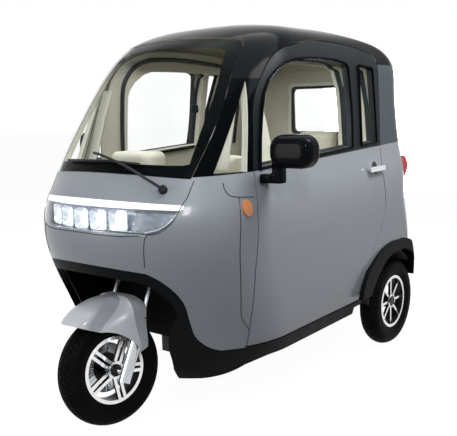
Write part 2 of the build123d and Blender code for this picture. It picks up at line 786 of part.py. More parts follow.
def rim(hub, spokes, spoke_width, pair_gap, face):
    """A cast rim: barrel, lip, hub and flat spokes, in pairs where pair_gap isn't 0."""
    section = Plane(origin=hub.origin, x_dir=hub.x_dir, z_dir=hub.y_dir)
    bead = RIM_RADIUS - 6
    half = RIM_WIDTH / 2
    with BuildPart() as wheel:
        with BuildSketch(section):
            Polygon(
                (bead - 8, -half), (bead, -half), (bead, half), (RIM_RADIUS - 1, half), (RIM_RADIUS - 1, half + 6),
                (bead - 8, half + 6), (bead - 14, half - 14), (bead - 14, -half), align=None,
            )
        revolve(axis=Axis(hub.origin, hub.z_dir))
        with BuildSketch(hub.offset(HUB_BACK)):
            Circle(HUB_RADIUS)
        extrude(amount=face - HUB_BACK)
        with BuildSketch(hub.offset(face - SPOKE_DEEP)):
            with PolarLocations(0, spokes):
                with Locations((bead / 2, pair_gap / 2), (bead / 2, -pair_gap / 2)):
                    Rectangle(bead - 12, spoke_width)
        extrude(amount=SPOKE_DEEP - 3)
        with BuildSketch(hub.offset(-FAR)):
            Circle(AXLE_RADIUS + 1)
        extrude(amount=2 * FAR, mode=Mode.SUBTRACT)
    return wheel.part


save(tyre(front_hub), "front_tyre")
with BuildPart() as front_rim:
    add(rim(front_hub, 5, 13, 24, FRONT_FACE))
    with BuildSketch(front_hub.offset(HUB_BACK)):
        Circle(DISC_RADIUS)
        Circle(AXLE_RADIUS + 1, mode=Mode.SUBTRACT)
    extrude(amount=4)
save(front_rim.part, "front_rim")
save_pair(tyre(rear_hub), "rear_tyre_{}")
save_pair(rim(rear_hub, 8, 12, 0, REAR_FACE), "rear_rim_{}")

# ---- rear axle -----------------------------------------------------------------------------
rear_centre = Plane(origin=(0, REAR_AXLE_Y, TYRE_RADIUS), x_dir=(0, 0, 1), z_dir=(1, 0, 0))
with BuildPart() as rear_axle:
    with BuildSketch(rear_centre.offset(-AXLE_TUBE_HALF)):
        Circle(AXLE_TUBE_RADIUS)
    extrude(amount=2 * AXLE_TUBE_HALF)
    with BuildSketch(rear_centre.offset(-MOTOR_HALF)):
        Circle(MOTOR_RADIUS)
    extrude(amount=2 * MOTOR_HALF)
    with BuildSketch(rear_centre.offset(-REAR_TRACK_HALF - 20)):
        Circle(AXLE_RADIUS)
    extrude(amount=2 * REAR_TRACK_HALF + 40)
with BuildPart() as springs:
    with BuildSketch(Plane.YZ.offset(SPRING_X - SPRING_WIDTH / 2)):
        with BuildLine():
            ThreePointArc((430, 266), (REAR_AXLE_Y, 204), (940, 266))
            Line((940, 266), (940, 254))
            ThreePointArc((940, 254), (REAR_AXLE_Y, 192), (430, 254))
            Line((430, 254), (430, 266))
        make_face()
    extrude(amount=SPRING_WIDTH)
    mirror(about=Plane.YZ)
    add(rear_axle.part)
save(springs.part, "rear_axle")
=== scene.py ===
# %% [markdown]
# # Dressing a small three wheeled cabin car
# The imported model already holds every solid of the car: shell panels, doors, glass, lamps, fork,
# wheels and seats. This lesson gives each of them its finish, and adds what is too fine for the
# solids: tread, stitching, seams, lamp optics, wheel bolts and the wiper. It could all be mesh
# code, but the ordinary edit-mode operators are used wherever they can do the job, so that each
# step can be repeated by hand.

# %% Load the model
import math

import bpy
from mathutils import Matrix, Vector
from mathutils.bvhtree import BVHTree


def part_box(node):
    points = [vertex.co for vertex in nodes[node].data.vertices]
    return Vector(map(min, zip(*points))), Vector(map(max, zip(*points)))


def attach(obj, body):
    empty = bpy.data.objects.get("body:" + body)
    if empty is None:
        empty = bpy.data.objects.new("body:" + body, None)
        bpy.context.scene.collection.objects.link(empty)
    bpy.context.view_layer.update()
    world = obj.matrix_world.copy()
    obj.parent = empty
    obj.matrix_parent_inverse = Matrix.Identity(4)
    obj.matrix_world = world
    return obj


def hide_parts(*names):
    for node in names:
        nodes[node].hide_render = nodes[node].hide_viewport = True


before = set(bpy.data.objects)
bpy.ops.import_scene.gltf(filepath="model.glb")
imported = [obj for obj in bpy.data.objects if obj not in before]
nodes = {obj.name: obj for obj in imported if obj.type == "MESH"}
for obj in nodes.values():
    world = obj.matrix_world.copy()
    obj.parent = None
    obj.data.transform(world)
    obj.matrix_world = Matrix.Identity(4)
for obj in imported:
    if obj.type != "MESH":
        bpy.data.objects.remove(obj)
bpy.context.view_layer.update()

# %% [markdown]
# ## A few tools for working by hand
# Operators act on whatever is selected, so each helper first clears the selection. `settle` ends
# every piece: its place goes into its mesh, so that patterns stay still, and it is tied to the
# body of the car that it moves with.


# %% Helpers for selecting and finishing
def only(piece):
    """Selects one piece and nothing else."""
    bpy.ops.object.select_all(action="DESELECT")
    piece.select_set(True)
    bpy.context.view_layer.objects.active = piece


def started(add, **settings):
    """A fresh primitive, alone in the selection."""
    bpy.ops.object.select_all(action="DESELECT")
    add(**settings)
    return bpy.context.object


def enter(piece):
    only(piece)
    bpy.ops.object.mode_set(mode="EDIT")


def leave():
    bpy.ops.object.mode_set(mode="OBJECT")


def pick_faces(piece, wanted):
    """Selects the faces whose centre and normal pass a test, then opens edit mode."""
    only(piece)
    bpy.context.tool_settings.mesh_select_mode = (False, False, True)
    mesh = piece.data
    mesh.vertices.foreach_set("select", [False] * len(mesh.vertices))
    mesh.edges.foreach_set("select", [False] * len(mesh.edges))
    picked = [bool(wanted(face.center, face.normal)) for face in mesh.polygons]
    mesh.polygons.foreach_set("select", picked)
    bpy.ops.object.mode_set(mode="EDIT")
    return sum(picked)


def clean(piece):
    """Merges doubled points and turns all faces outward."""
    enter(piece)
    bpy.ops.mesh.select_all(action="SELECT")
    bpy.ops.mesh.remove_doubles(threshold=0.00002)
    bpy.ops.mesh.normals_make_consistent(inside=False)
    leave()


def settle(piece, name, body, slot, material=None, smooth=35):
    """Finishes a piece; without a material of its own it takes the finish of its slot."""
    only(piece)
    bpy.ops.object.transform_apply(location=True, rotation=True, scale=True)
    if smooth:
        bpy.ops.object.shade_smooth_by_angle(angle=math.radians(smooth))
    piece.name = name
    piece.data.materials.clear()
    piece.data.materials.append(material or finishes[slot])
    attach(piece, body)
    print(name, len(piece.data.polygons), "faces")
    return piece


def settle_pair(piece, name, bodies, slot, material=None):
    """Settles a piece on the left and its mirror image on the right."""
    other = twin(piece, MIRRORED)
    clean(other)
    settle(piece, name + "_left", bodies[0], slot, material)
    settle(other, name + "_right", bodies[1], slot, material)


def joined(pieces):
    """Makes one piece of several."""
    only(pieces[0])
    for piece in pieces:
        piece.select_set(True)
    bpy.ops.object.join()
    return pieces[0]


def modify(piece, kind, **settings):
    """Adds a modifier with its settings."""
    modifier = piece.modifiers.new(kind.lower(), kind)
    for label, value in settings.items():
        setattr(modifier, label, value)
    return modifier


def apply_all(piece):
    only(piece)
    for modifier in list(piece.modifiers):
        bpy.ops.object.modifier_apply(modifier=modifier.name)


def copy_of(name):
    """A loose copy of one solid, with its own mesh."""
    piece = bpy.data.objects.new("copy", nodes[name].data.copy())
    bpy.context.collection.objects.link(piece)
    clean(piece)
    return piece


# %% [markdown]
# ## Turned pieces, rods and outlines
# Tyres, boots, bowls and caps are turned round an axle from a section. The section starts as a
# circle of as many points as it needs, each point is moved to its place, and Spin does the rest.
# Rods start as a curve with a round bevel and are made a mesh at once. A piece that stands on both
# sides is made on the left, and its mirror image is settled on the right.


# %% Helpers for turned pieces, rods and outlines
def outline(points):
    """A closed wire through points."""
    wire = started(bpy.ops.mesh.primitive_circle_add, vertices=len(points), radius=0.1)
    for vertex, point in zip(wire.data.vertices, points):
        vertex.co = point
    return wire


def turned(section, steps):
    """A closed section of (along X, radius) points, spun right round the X axis."""
    piece = outline([(along, 0.0, radius) for along, radius in section])
    enter(piece)
    bpy.ops.mesh.select_all(action="SELECT")
    bpy.ops.mesh.spin(steps=steps, angle=2 * math.pi, center=(0, 0, 0), axis=(1, 0, 0))
    leave()
    clean(piece)
    return piece


def rod(points, radius, sides=4, smooth=True):
    """A round rod through points."""
    curve = bpy.data.curves.new("rod", "CURVE")
    curve.dimensions = "3D"
    curve.bevel_depth = radius
    curve.bevel_resolution = sides
    curve.resolution_u = 8
    curve.use_fill_caps = True
    spline = curve.splines.new("BEZIER" if smooth else "POLY")
    places = spline.bezier_points if smooth else spline.points
    places.add(len(points) - 1)
    for place, point in zip(places, points):
        if smooth:
            place.co = point
            place.handle_left_type = "AUTO"
            place.handle_right_type = "AUTO"
        else:
            place.co = (*point, 1.0)
    piece = bpy.data.objects.new("rod", curve)
    bpy.context.collection.objects.link(piece)
    only(piece)
    bpy.ops.object.convert(target="MESH")
    return bpy.context.object


def moved(piece, matrix):
    piece.data.transform(matrix)
    return piece


def twin(piece, matrix):
    """A copy with its own mesh, moved by matrix."""
    other = piece.copy()
    other.data = piece.data.copy()
    other.parent = None
    other.matrix_world = Matrix.Identity(4)
    bpy.context.collection.objects.link(other)
    return moved(other, matrix)


def surface(*names):
    """A search tree of the named solids, for laying things on them."""
    corners = []
    faces = []
    for name in names:
        mesh = nodes[name].data
        first = len(corners)
        corners += [vertex.co.copy() for vertex in mesh.vertices]
        faces += [[first + index for index in face.vertices] for face in mesh.polygons]
    return BVHTree.FromPolygons(corners, faces)


def nearest(tree, point):
    """The closest place on a surface, and its normal."""
    return tree.find_nearest(Vector(point))[:2]


MIRRORED = Matrix.Diagonal((-1, 1, 1, 1))
SIDES = (("left", 1), ("right", -1))
UP = Vector((0, 0, 1))
BACKWARD = Vector((0, 1, 0))
print("helpers ready")

# %% [markdown]
# ## Node groups that several finishes share
# Paint, plastic, rubber and cloth all need the same few effects: a tone that drifts a little, a
# fine grain, dust that settles low down, edges that wear bright. On the black plastics the bright
# edges are also a painted highlight. Each is built once as a group with named sockets. A group
# only gives out colours, masks and heights; the shader itself stays in the material.


# %% Helpers for node groups
def group(name, inputs, outputs):
    tree = bpy.data.node_groups.new(name, "ShaderNodeTree")
    for label, kind in inputs:
        tree.interface.new_socket(label, in_out="INPUT", socket_type="NodeSocket" + kind)
    for label, kind in outputs:
        tree.interface.new_socket(label, in_out="OUTPUT", socket_type="NodeSocket" + kind)
    return tree, tree.nodes.new("NodeGroupInput").outputs, tree.nodes.new("NodeGroupOutput").inputs


def feed(tree, made, **inputs):
    """Sets a node's inputs to values, or links them to sockets; i0 is the first input."""
    for label, value in inputs.items():
        key = int(label[1:]) if label[0] == "i" and label[1:].isdigit() else label.replace("_", " ")
        if isinstance(value, bpy.types.NodeSocket):
            tree.links.new(value, made.inputs[key])
        else:
            made.inputs[key].default_value = value


def node(tree, kind, settings=(), **inputs):
    """Adds a node and feeds it."""
    made = tree.nodes.new("ShaderNode" + kind)
    for label, value in dict(settings).items():
        setattr(made, label, value)
    feed(tree, made, **inputs)
    return made


def placed(tree, effect, **inputs):
    return node(tree, "Group", {"node_tree": effect}, **inputs)


def maths(tree, operation, first, second, clamp=False):
    """The result of one sum on two values or sockets."""
    return node(tree, "Math", {"operation": operation, "use_clamp": clamp}, i0=first, i1=second).outputs[0]


def varied(tree, given, result, source, **limits):
    """Scales the given colour by a source that is spread from 1 - Amount to 1 + Amount."""
    low = maths(tree, "SUBTRACT", 1.0, given["Amount"])
    high = maths(tree, "ADD", 1.0, given["Amount"])
    spread = node(tree, "MapRange", Value=source, To_Min=low, To_Max=high, **limits).outputs["Result"]
    scaled = node(tree, "VectorMath", {"operation": "SCALE"}, i0=given["Color"], Scale=spread)
    tree.links.new(scaled.outputs["Vector"], result["Color"])
    return spread


def covered(tree, given, result, first, second, cover):
    """Lays a cover colour over the given one where two masks agree, as strongly as Amount says."""
    mask = maths(tree, "MULTIPLY", maths(tree, "MULTIPLY", first, second), given["Amount"], clamp=True)
    mixed = node(tree, "Mix", {"data_type": "RGBA"}, i0=mask, i6=given["Color"], i7=given[cover])
    tree.links.new(mixed.outputs[2], result["Color"])
    tree.links.new(mask, result["Mask"])


# %% Drifting tone
uneven_tone, given, result = group(
    "uneven tone",
    [("Vector", "Vector"), ("Color", "Color"), ("Scale", "Float"), ("Amount", "Float")],
    [("Color", "Color"), ("Value", "Float")],
)
cloud = node(uneven_tone, "TexNoise", Vector=given["Vector"], Scale=given["Scale"], Detail=4.0)
spread = varied(uneven_tone, given, result, cloud.outputs["Fac"], From_Min=0.3, From_Max=0.7)
uneven_tone.links.new(spread, result["Value"])
print("group", uneven_tone.name)

# %% Metal flake in paint
flake, given, result = group(
    "metal flake",
    [("Vector", "Vector"), ("Color", "Color"), ("Scale", "Float"), ("Amount", "Float")],
    [("Color", "Color"), ("Glint", "Float")],
)
cells = node(flake, "TexVoronoi", Vector=given["Vector"], Scale=given["Scale"])
shade = node(flake, "SeparateColor", Color=cells.outputs["Color"])
varied(flake, given, result, shade.outputs["Red"])
flake.links.new(shade.outputs["Green"], result["Glint"])
print("group", flake.name)

# %% Fine grain, as on moulded plastic, rubber and leather
fine_grain, given, result = group(
    "fine grain",
    [("Vector", "Vector"), ("Scale", "Float"), ("Crease", "Float")],
    [("Height", "Float")],
)
pores = node(fine_grain, "TexNoise", Vector=given["Vector"], Scale=given["Scale"], Detail=3.0)
cells = node(fine_grain, "TexVoronoi", {"feature": "DISTANCE_TO_EDGE"}, Vector=given["Vector"],
             Scale=given["Scale"])
folds = node(fine_grain, "MapRange", Value=cells.outputs["Distance"], From_Min=0.0, From_Max=0.18)
mixed = node(fine_grain, "Mix", i0=given["Crease"], i2=pores.outputs["Fac"], i3=folds.outputs["Result"])
fine_grain.links.new(mixed.outputs[0], result["Height"])
print("group", fine_grain.name)

# %% Dust that settles low down
settled_dust, given, result = group(
    "settled dust",
    [("Vector", "Vector"), ("Color", "Color"), ("Dust", "Color"), ("Top", "Float"), ("Amount", "Float")],
    [("Color", "Color"), ("Mask", "Float")],
)
parts = node(settled_dust, "SeparateXYZ", Vector=given["Vector"])
fall = node(settled_dust, "MapRange", Value=parts.outputs["Z"], From_Min=given["Top"], From_Max=0.0)
patch = node(settled_dust, "TexNoise", Vector=given["Vector"], Scale=14.0, Detail=5.0)
covered(settled_dust, given, result, fall.outputs["Result"], patch.outputs["Fac"], "Dust")
print("group", settled_dust.name)

# %% Edges that wear, with a painted highlight
worn_and_highlit_edges, given, result = group(
    "worn edges",
    [("Vector", "Vector"), ("Color", "Color"), ("Worn", "Color"), ("Amount", "Float")],
    [("Color", "Color"), ("Mask", "Float")],
)
# Sharp edges take a lighter colour: partly wear, partly a painted highlight along the edges
rounded = node(worn_and_highlit_edges, "Bevel", {"samples": 4}, Radius=0.0015)
true_normal = node(worn_and_highlit_edges, "NewGeometry")
facing = node(worn_and_highlit_edges, "VectorMath", {"operation": "DOT_PRODUCT"}, i0=rounded.outputs["Normal"],
              i1=true_normal.outputs["Normal"])
edge = node(worn_and_highlit_edges, "MapRange", Value=facing.outputs["Value"], From_Min=0.99, From_Max=0.75)
patch = node(worn_and_highlit_edges, "TexNoise", Vector=given["Vector"], Scale=35.0, Detail=4.0)
edge_patches = node(worn_and_highlit_edges, "MapRange", Value=patch.outputs["Fac"], From_Min=0.35, From_Max=0.65)
covered(worn_and_highlit_edges, given, result, edge.outputs["Result"], edge_patches.outputs["Result"], "Worn")
print("group", worn_and_highlit_edges.name)

# %% [markdown]
# ## One way to build a finish
# Most surfaces here differ only in colour, gloss, grain, dust, and worn edges that also carry a
# painted highlight, so one function chains the groups in the same order each time. Numbers that
# are the same all over a surface sit on the shader's own sockets.


# %% The finish builder
def tone(red, green, blue):
    """Screen values from 0 to 255 as the linear colour a shader works with."""
    linear = []
    for value in (red / 255, green / 255, blue / 255):
        linear.append(value / 12.92 if value <= 0.04045 else ((value + 0.055) / 1.055) ** 2.4)
    return (*linear, 1.0)


DUST = tone(150, 142, 130)
DUST_TOP = 0.55
FLAKE_SCALE = 900.0
COAT_ROUGHNESS = 0.03
GRAIN_DEPTH = 0.0006


def blank(name):
    """A new material with its node tree, its shader and its object coordinates."""
    material = bpy.data.materials.new(name)
    material.use_nodes = True
    tree = material.node_tree
    return material, tree, tree.nodes["Principled BSDF"], node(tree, "TexCoord").outputs["Object"]


def glowing(material, colour, strength):
    tree = material.node_tree
    feed(tree, tree.nodes["Principled BSDF"], Emission_Color=(*colour, 1.0), Emission_Strength=strength)


def finish(name, colour, rough, metal=0.0, coat=0.0, drift=(5.0, 0.03), grain=(600.0, 0.05), crease=0.0,
           flakes=0.0, dust=0.0, wear_and_highlight=0.0, worn=None, rough_drift=0.08, shine=0.5):
    material, tree, shader, spot = blank(name)
    base = placed(tree, uneven_tone, Vector=spot, Color=colour, Scale=drift[0], Amount=drift[1])
    last = base.outputs["Color"]
    if flakes:
        last = placed(tree, flake, Vector=spot, Color=last, Scale=FLAKE_SCALE, Amount=flakes).outputs["Color"]
    # Lighter edges: partly wear, partly a painted edge highlight
    if wear_and_highlight:
        edge_wear_and_highlight = placed(tree, worn_and_highlit_edges, Vector=spot, Color=last, Worn=worn or DUST, Amount=wear_and_highlight)
        last = edge_wear_and_highlight.outputs["Color"]
    if dust:
        film = placed(tree, settled_dust, Vector=spot, Color=last, Dust=DUST, Top=DUST_TOP, Amount=dust)
        last = film.outputs["Color"]
    sheen = placed(tree, uneven_tone, Vector=spot, Color=(1, 1, 1, 1), Scale=drift[0] * 3, Amount=rough_drift)
    feed(tree, shader, Base_Color=last, Roughness=maths(tree, "MULTIPLY", sheen.outputs["Value"], rough),
         Metallic=metal, Coat_Weight=coat, Coat_Roughness=COAT_ROUGHNESS, Specular_IOR_Level=shine)
    if grain[1]:
        pores = placed(tree, fine_grain, Vector=spot, Scale=grain[0], Crease=crease)
        bump = node(tree, "Bump", Strength=grain[1], Distance=GRAIN_DEPTH, Height=pores.outputs["Height"])
        feed(tree, shader, Normal=bump.outputs["Normal"])
    return material


# %% [markdown]
# ## Paints and plastics
# The shell is a silver metallic under clear lacquer, and the front guard takes a much lighter copy
# of it, which is painted light. The roof, the pillars, the window frames and the mirrors are gloss
# black, the upper tail is a satin blue-grey, and the skirts are black plastic with a fine moulded
# grain that picks up road dust.

# %% Outside finishes
finishes = {
    "body_paint": finish("silver paint", tone(138, 143, 150), 0.30, metal=0.03, coat=0.15, flakes=0.10,
                         drift=(2.5, 0.02), grain=(900.0, 0.015), shine=0.2),
    # The guard's paint is the silver made lighter: painted light for the light that falls on its top and front
    "guard_paint": finish("guard silver painted lighter", tone(196, 201, 208), 0.30, metal=0.03, coat=0.15, flakes=0.10,
                          drift=(3.0, 0.03), grain=(900.0, 0.015), dust=0.12, shine=0.2),
    "roof_paint": finish("gloss black", tone(9, 11, 14), 0.13, drift=(3.0, 0.12), grain=(900.0, 0.01), shine=0.035),
    "dark_paint": finish("satin blue grey", tone(62, 68, 76), 0.45, metal=0.1, flakes=0.08, drift=(3.0, 0.04),
                         grain=(800.0, 0.04), shine=0.2),
    # The cladding's lighter edges are a painted highlight along its edges, with some wear
    "cladding": finish("black cladding", tone(7, 9, 12), 0.5, drift=(9.0, 0.12), grain=(750.0, 0.25),
                       crease=0.4, dust=0.04, wear_and_highlight=0.15, worn=tone(48, 50, 54), shine=0.05),
    "rubber": finish("tyre rubber", tone(8, 9, 11), 0.6, drift=(22.0, 0.16), grain=(900.0, 0.30),
                     crease=0.2, dust=0.03, shine=0.03),
    "chrome": finish("bright chrome", tone(225, 227, 230), 0.09, metal=1.0, drift=(8.0, 0.03),
                     grain=(500.0, 0.01)),
    "rim_metal": finish("dark rim", tone(16, 18, 21), 0.34, metal=0.1, drift=(12.0, 0.12),
                        grain=(700.0, 0.08), dust=0.08, shine=0.2),
    "steel": finish("black steel", tone(26, 27, 30), 0.45, metal=0.2, drift=(15.0, 0.15),
                    grain=(500.0, 0.2), dust=0.15, wear_and_highlight=0.4, worn=tone(110, 108, 104), shine=0.2),
    "fork_metal": finish("fork metal", tone(190, 193, 198), 0.2, metal=0.95, drift=(18.0, 0.06),
                         grain=(600.0, 0.05), dust=0.08),
}
machined = finish("machined rim face", tone(222, 223, 224), 0.2, metal=0.95, coat=0.3,
                  drift=(30.0, 0.05), grain=(1200.0, 0.06))
print(len(finishes), "outside finishes")

# %% Inside finishes
finishes.update({
    "seat": finish("cream leather", tone(222, 219, 200), 0.5, drift=(7.0, 0.04), grain=(230.0, 0.35),
                   crease=0.75, rough_drift=0.15),
    "trim": finish("cream moulded trim", tone(202, 200, 184), 0.55, drift=(6.0, 0.03),
                   grain=(420.0, 0.2), crease=0.6),
    "floor_mat": finish("charcoal mat", tone(52, 52, 54), 0.9, drift=(16.0, 0.2), grain=(260.0, 0.6)),
})
headliner = finish("greige headliner", tone(186, 184, 170), 0.85, drift=(9.0, 0.04), grain=(500.0, 0.4))
seal = finish("window seal", tone(24, 25, 27), 0.6, drift=(14.0, 0.15), grain=(700.0, 0.2))
print("inside finishes ready")


# %% [markdown]
# ## Glass and lenses
# Clear glass lets shadow rays straight through, or the cabin would be dark. The tint, the gloss
# and the transmission stay plain values on the shader.


# %% Glass, lenses and lights
def lens(name, colour, ior, rough=0.02, drift=0.02):
    material, tree, shader, spot = blank(name)
    film = placed(tree, uneven_tone, Vector=spot, Color=colour, Scale=4.0, Amount=drift)
    feed(tree, shader, Base_Color=film.outputs["Color"], Roughness=rough, Transmission_Weight=1.0, IOR=ior)
    rays = node(tree, "LightPath").outputs
    clear = node(tree, "BsdfTransparent", Color=colour)
    passing = maths(tree, "ADD", rays["Is Shadow Ray"], rays["Is Diffuse Ray"], clamp=True)
    blend = node(tree, "MixShader", i0=passing, i1=shader.outputs["BSDF"], i2=clear.outputs["BSDF"])
    feed(tree, tree.nodes["Material Output"], Surface=blend.outputs["Shader"])
    return material


finishes["glass"] = lens("window glass", tone(254, 255, 255), ior=1.03)
finishes["lamp_cover"] = lens("lamp cover", tone(250, 252, 254), ior=1.18)
finishes["tail_red"] = finish("tail lens", tone(176, 22, 26), 0.12, coat=1.0, drift=(40.0, 0.2),
                              grain=(260.0, 0.25), crease=1.0)
finishes["amber"] = finish("amber lens", tone(214, 122, 40), 0.15, coat=1.0, drift=(40.0, 0.15),
                           grain=(300.0, 0.25), crease=1.0)
finishes["lamp_body"] = finish("lamp reflector body", tone(168, 176, 186), 0.22, metal=0.8,
                               drift=(25.0, 0.15), grain=(200.0, 0.1))
finishes["light_bar"] = finish("light bar", tone(246, 248, 250), 0.25, coat=0.6, drift=(20.0, 0.02),
                               grain=(300.0, 0.05))
glowing(finishes["light_bar"], (0.93, 0.97, 1.0), 0.35)
print("glass and lenses ready")

# %% [markdown]
# ## Putting the finishes on
# Every solid takes the finish of its slot. A shell panel is painted outside and trimmed inside,
# so its inner faces get the headliner, and the narrow faces round a window get the black seal.


# %% Dress the solids
for solid in nodes.values():
    slot_name = solid.data.materials[0].name.split(".")[0]
    solid.data.materials.clear()
    solid.data.materials.append(finishes[slot_name])
print("finishes on", len(nodes), "solids")


# %% Inner faces and seals
def also(name, material, wanted):
    """Gives a solid a further finish on the faces that pass a test."""
    mesh = nodes[name].data
    mesh.materials.append(material)
    place = len(mesh.materials) - 1
    count = 0
    for face in mesh.polygons:
        if wanted(face.center, face.normal):
            face.material_index = place
            count += 1
    return count


def outward(centre):
    """Points away from the middle of the cabin, in plan."""
    return Vector((centre.x, max(centre.y - 0.75, 0.0) * 2.2 + min(centre.y + 0.35, 0.0), 0.0)).normalized()


def inner(centre, normal):
    return normal.dot(outward(centre)) < -0.45


def outer(centre, normal):
    return not inner(centre, normal)


def pairs(*patterns):
    """The names of solids that stand on both sides."""
    return [pattern.format(word) for pattern in patterns for word, side in SIDES]


FRAMES = pairs("door_{}_frame")
PILLARS = pairs("pillar_{}")
PANES = pairs("door_{}_window", "door_{}_small_window", "side_glass_{}")
for name in (*pairs("quarter_{}", "door_{}_panel"), *PILLARS, *FRAMES, "rear_upper_panel"):
    print(name, also(name, finishes["trim"], inner), "inner faces")
print("roof", also("roof", headliner, lambda centre, normal: normal.z < -0.2), "inner faces")
# The outer faces of the pillars take a darker, less reflective copy of the roof's gloss black: painted shade. The
# thin seals round the door windows use it too.
shade_darkened_black = finish("gloss black painted darker", tone(6, 8, 11), 0.12, drift=(3.0, 0.12), grain=(900.0, 0.01),
                    shine=0.012)
for name in PILLARS:
    print(name, also(name, shade_darkened_black, outer), "outer faces")
frame_black = finish("satin frame black", tone(21, 26, 30), 0.36, drift=(4.0, 0.10), grain=(800.0, 0.03),
                     shine=0.06)
for name in FRAMES:
    print(name, also(name, frame_black, outer), "outer faces")
for name in (*FRAMES, *PILLARS, "rear_upper_panel", *PANES):
    count = also(name, seal, lambda centre, normal: abs(normal.dot(outward(centre))) < 0.4)
    print(name, count, "edge faces")

# %% [markdown]
# ## Wheels
# All three tyres are the same size. One is turned from its section, the tread is cut into it by
# pushing chosen faces inward, and the other two are copies. The wheels' own frames say where they
# stand: the front one is steered a little, so its axle isn't square to the car.

# %% Where the wheels stand
RAKE = math.radians(26.5)
REST = math.radians(-11.0)
steer_up = Vector((0, math.sin(RAKE), math.cos(RAKE)))
steer_side = Vector((math.cos(REST), math.sin(REST) * math.cos(RAKE), -math.sin(REST) * math.sin(RAKE)))
front_hub = Vector((-0.005325, -0.734541, 0.222771))


def frame_of(centre, side, up):
    """The placing matrix of something made round the X axis at the origin."""
    turn = Matrix((side, up.cross(side), up)).transposed().to_4x4()
    return Matrix.Translation(centre) @ turn


WHEELS = {"front_wheel": ("front", frame_of(front_hub, steer_side, steer_up))}
for word, side in SIDES:
    hub = Vector((side * 0.468, 0.76, 0.223))
    WHEELS["rear_wheel_" + word] = (word, frame_of(hub, Vector((side, 0, 0)), UP))
print("wheel frames", list(WHEELS))

# %% Turn the tyre
TREAD_STEPS = 300
TYRE_RADIUS = 0.2228
CROWN = 0.0591
tread = [0.0, 0.006, 0.011, 0.0142, 0.02, 0.0255, 0.03, 0.0332, 0.0375, 0.042, 0.0456]
half_section = [(u, TYRE_RADIUS - (CROWN - math.sqrt(CROWN ** 2 - u ** 2))) for u in tread]
half_section += [(0.048, 0.1975), (0.0497, 0.1935), (0.0503, 0.193), (0.0512, 0.186), (0.0518, 0.176),
                 (0.0514, 0.166), (0.0516, 0.164), (0.051, 0.1615), (0.05, 0.16), (0.0475, 0.1525),
                 (0.044, 0.1465), (0.04, 0.1412), (0.0385, 0.1342)]
section = half_section + [(-u, radius) for u, radius in reversed(half_section[1:])]
tyre = turned(section, TREAD_STEPS)
print("tyre", len(tyre.data.polygons), "faces")

# %% Cut the tread
BLOCK_SHIFT = [(0.011, 0, 12), (0.03, 4, 6), (0.046, 9, 6)]
SHOULDER = 0.2005
SLANT = 230
GROOVE_DEPTH = 0.0034


def grooved(centre, normal):
    """Two grooves run right round on each side, and slanted cuts part the blocks between them."""
    side = abs(centre.x)
    if math.hypot(centre.y, centre.z) < SHOULDER:
        return False
    if 0.011 < side < 0.0142 or 0.03 < side < 0.0332:
        return True
    step = round(math.degrees(math.atan2(centre.y, centre.z)) * TREAD_STEPS / 360 - 0.5)
    for limit, shift, period in BLOCK_SHIFT:
        if side < limit:
            slant = round(side * SLANT)
            return (step + shift + slant) % period == 0
    return False


count = pick_faces(tyre, grooved)
bpy.ops.mesh.extrude_region_shrink_fatten(TRANSFORM_OT_shrink_fatten={"value": -GROOVE_DEPTH})
leave()
print(count, "tread faces pushed in;", len(tyre.data.polygons), "faces in all")

# %% Put the tyres on their rims
for body, (word, place) in WHEELS.items():
    piece = settle(twin(tyre, place), "tyre_" + word, body, "rubber", smooth=30)
    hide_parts("front_tyre" if word == "front" else "rear_tyre_" + word)
bpy.data.objects.remove(tyre)

# %% [markdown]
# ## Rims
# The cast rims are dark in their pockets and turned bright on their faces. The bright part is
# chosen by place: the faces that look out along the axle, and the lip.


# %% Bright faces of the rims
def bright_face(place, depth):
    back = place.inverted()

    def wanted(centre, normal):
        here = back @ centre
        looks = back.to_3x3() @ normal
        reach = math.hypot(here.y, here.z)
        return (looks.x > 0.7 and here.x > depth) or (reach > 0.124 and here.x > 0.03)
    return wanted


print("front", also("front_rim", machined, bright_face(WHEELS["front_wheel"][1], 0.036)), "bright faces")
for word in ("left", "right"):
    print(word, also("rear_rim_" + word, machined, bright_face(WHEELS["rear_wheel_" + word][1], 0.020)))

# %% Hub caps, nuts and valve
cap_section = [(0.02, 0.0), (0.02, 0.0245), (0.0475, 0.0245), (0.05, 0.0225), (0.0505, 0.0205),
               (0.049, 0.0185), (0.0478, 0.015), (0.048, 0.008), (0.0486, 0.0)]
NUT_CIRCLE = 0.031
nut_section = [(0.03, 0.0), (0.03, 0.0062), (0.052, 0.0062), (0.0545, 0.0046), (0.055, 0.0)]
for body, (word, place) in WHEELS.items():
    out = Matrix.Translation((0.0 if word == "front" else -0.014, 0, 0))
    cap = turned(cap_section, 32)
    settle(moved(cap, place @ out), "hub_cap_" + word, body, "rim_metal")
    nuts = []
    for index in range(5):
        angle = 2 * math.pi * (index + 0.5) / 5
        around = Matrix.Translation((-0.006, NUT_CIRCLE * math.sin(angle), NUT_CIRCLE * math.cos(angle)))
        nuts.append(moved(turned(nut_section, 6), place @ out @ around))
    settle(joined(nuts), "wheel_nuts_" + word, body, "chrome")

# %% Brake disc of the front wheel
DISC = [(-0.03, 0.06), (-0.026, 0.06), (-0.026, 0.1), (-0.03, 0.1)]
disc = turned(DISC, 60)
pick_faces(disc, lambda centre, normal: abs(normal.x) > 0.9 and round(
    math.degrees(math.atan2(centre.y, centre.z)) / 6) % 3 == 0)
bpy.ops.mesh.inset(thickness=0.003, depth=-0.0008, use_individual=True)
leave()
settle(moved(disc, WHEELS["front_wheel"][1]), "brake_disc", "front_wheel", "fork_metal")

# %% [markdown]
# ## Fork boots
# Each chrome leg dives into a ribbed rubber boot above its slider. The boot is turned from a
# zigzag section and stood on the leg.

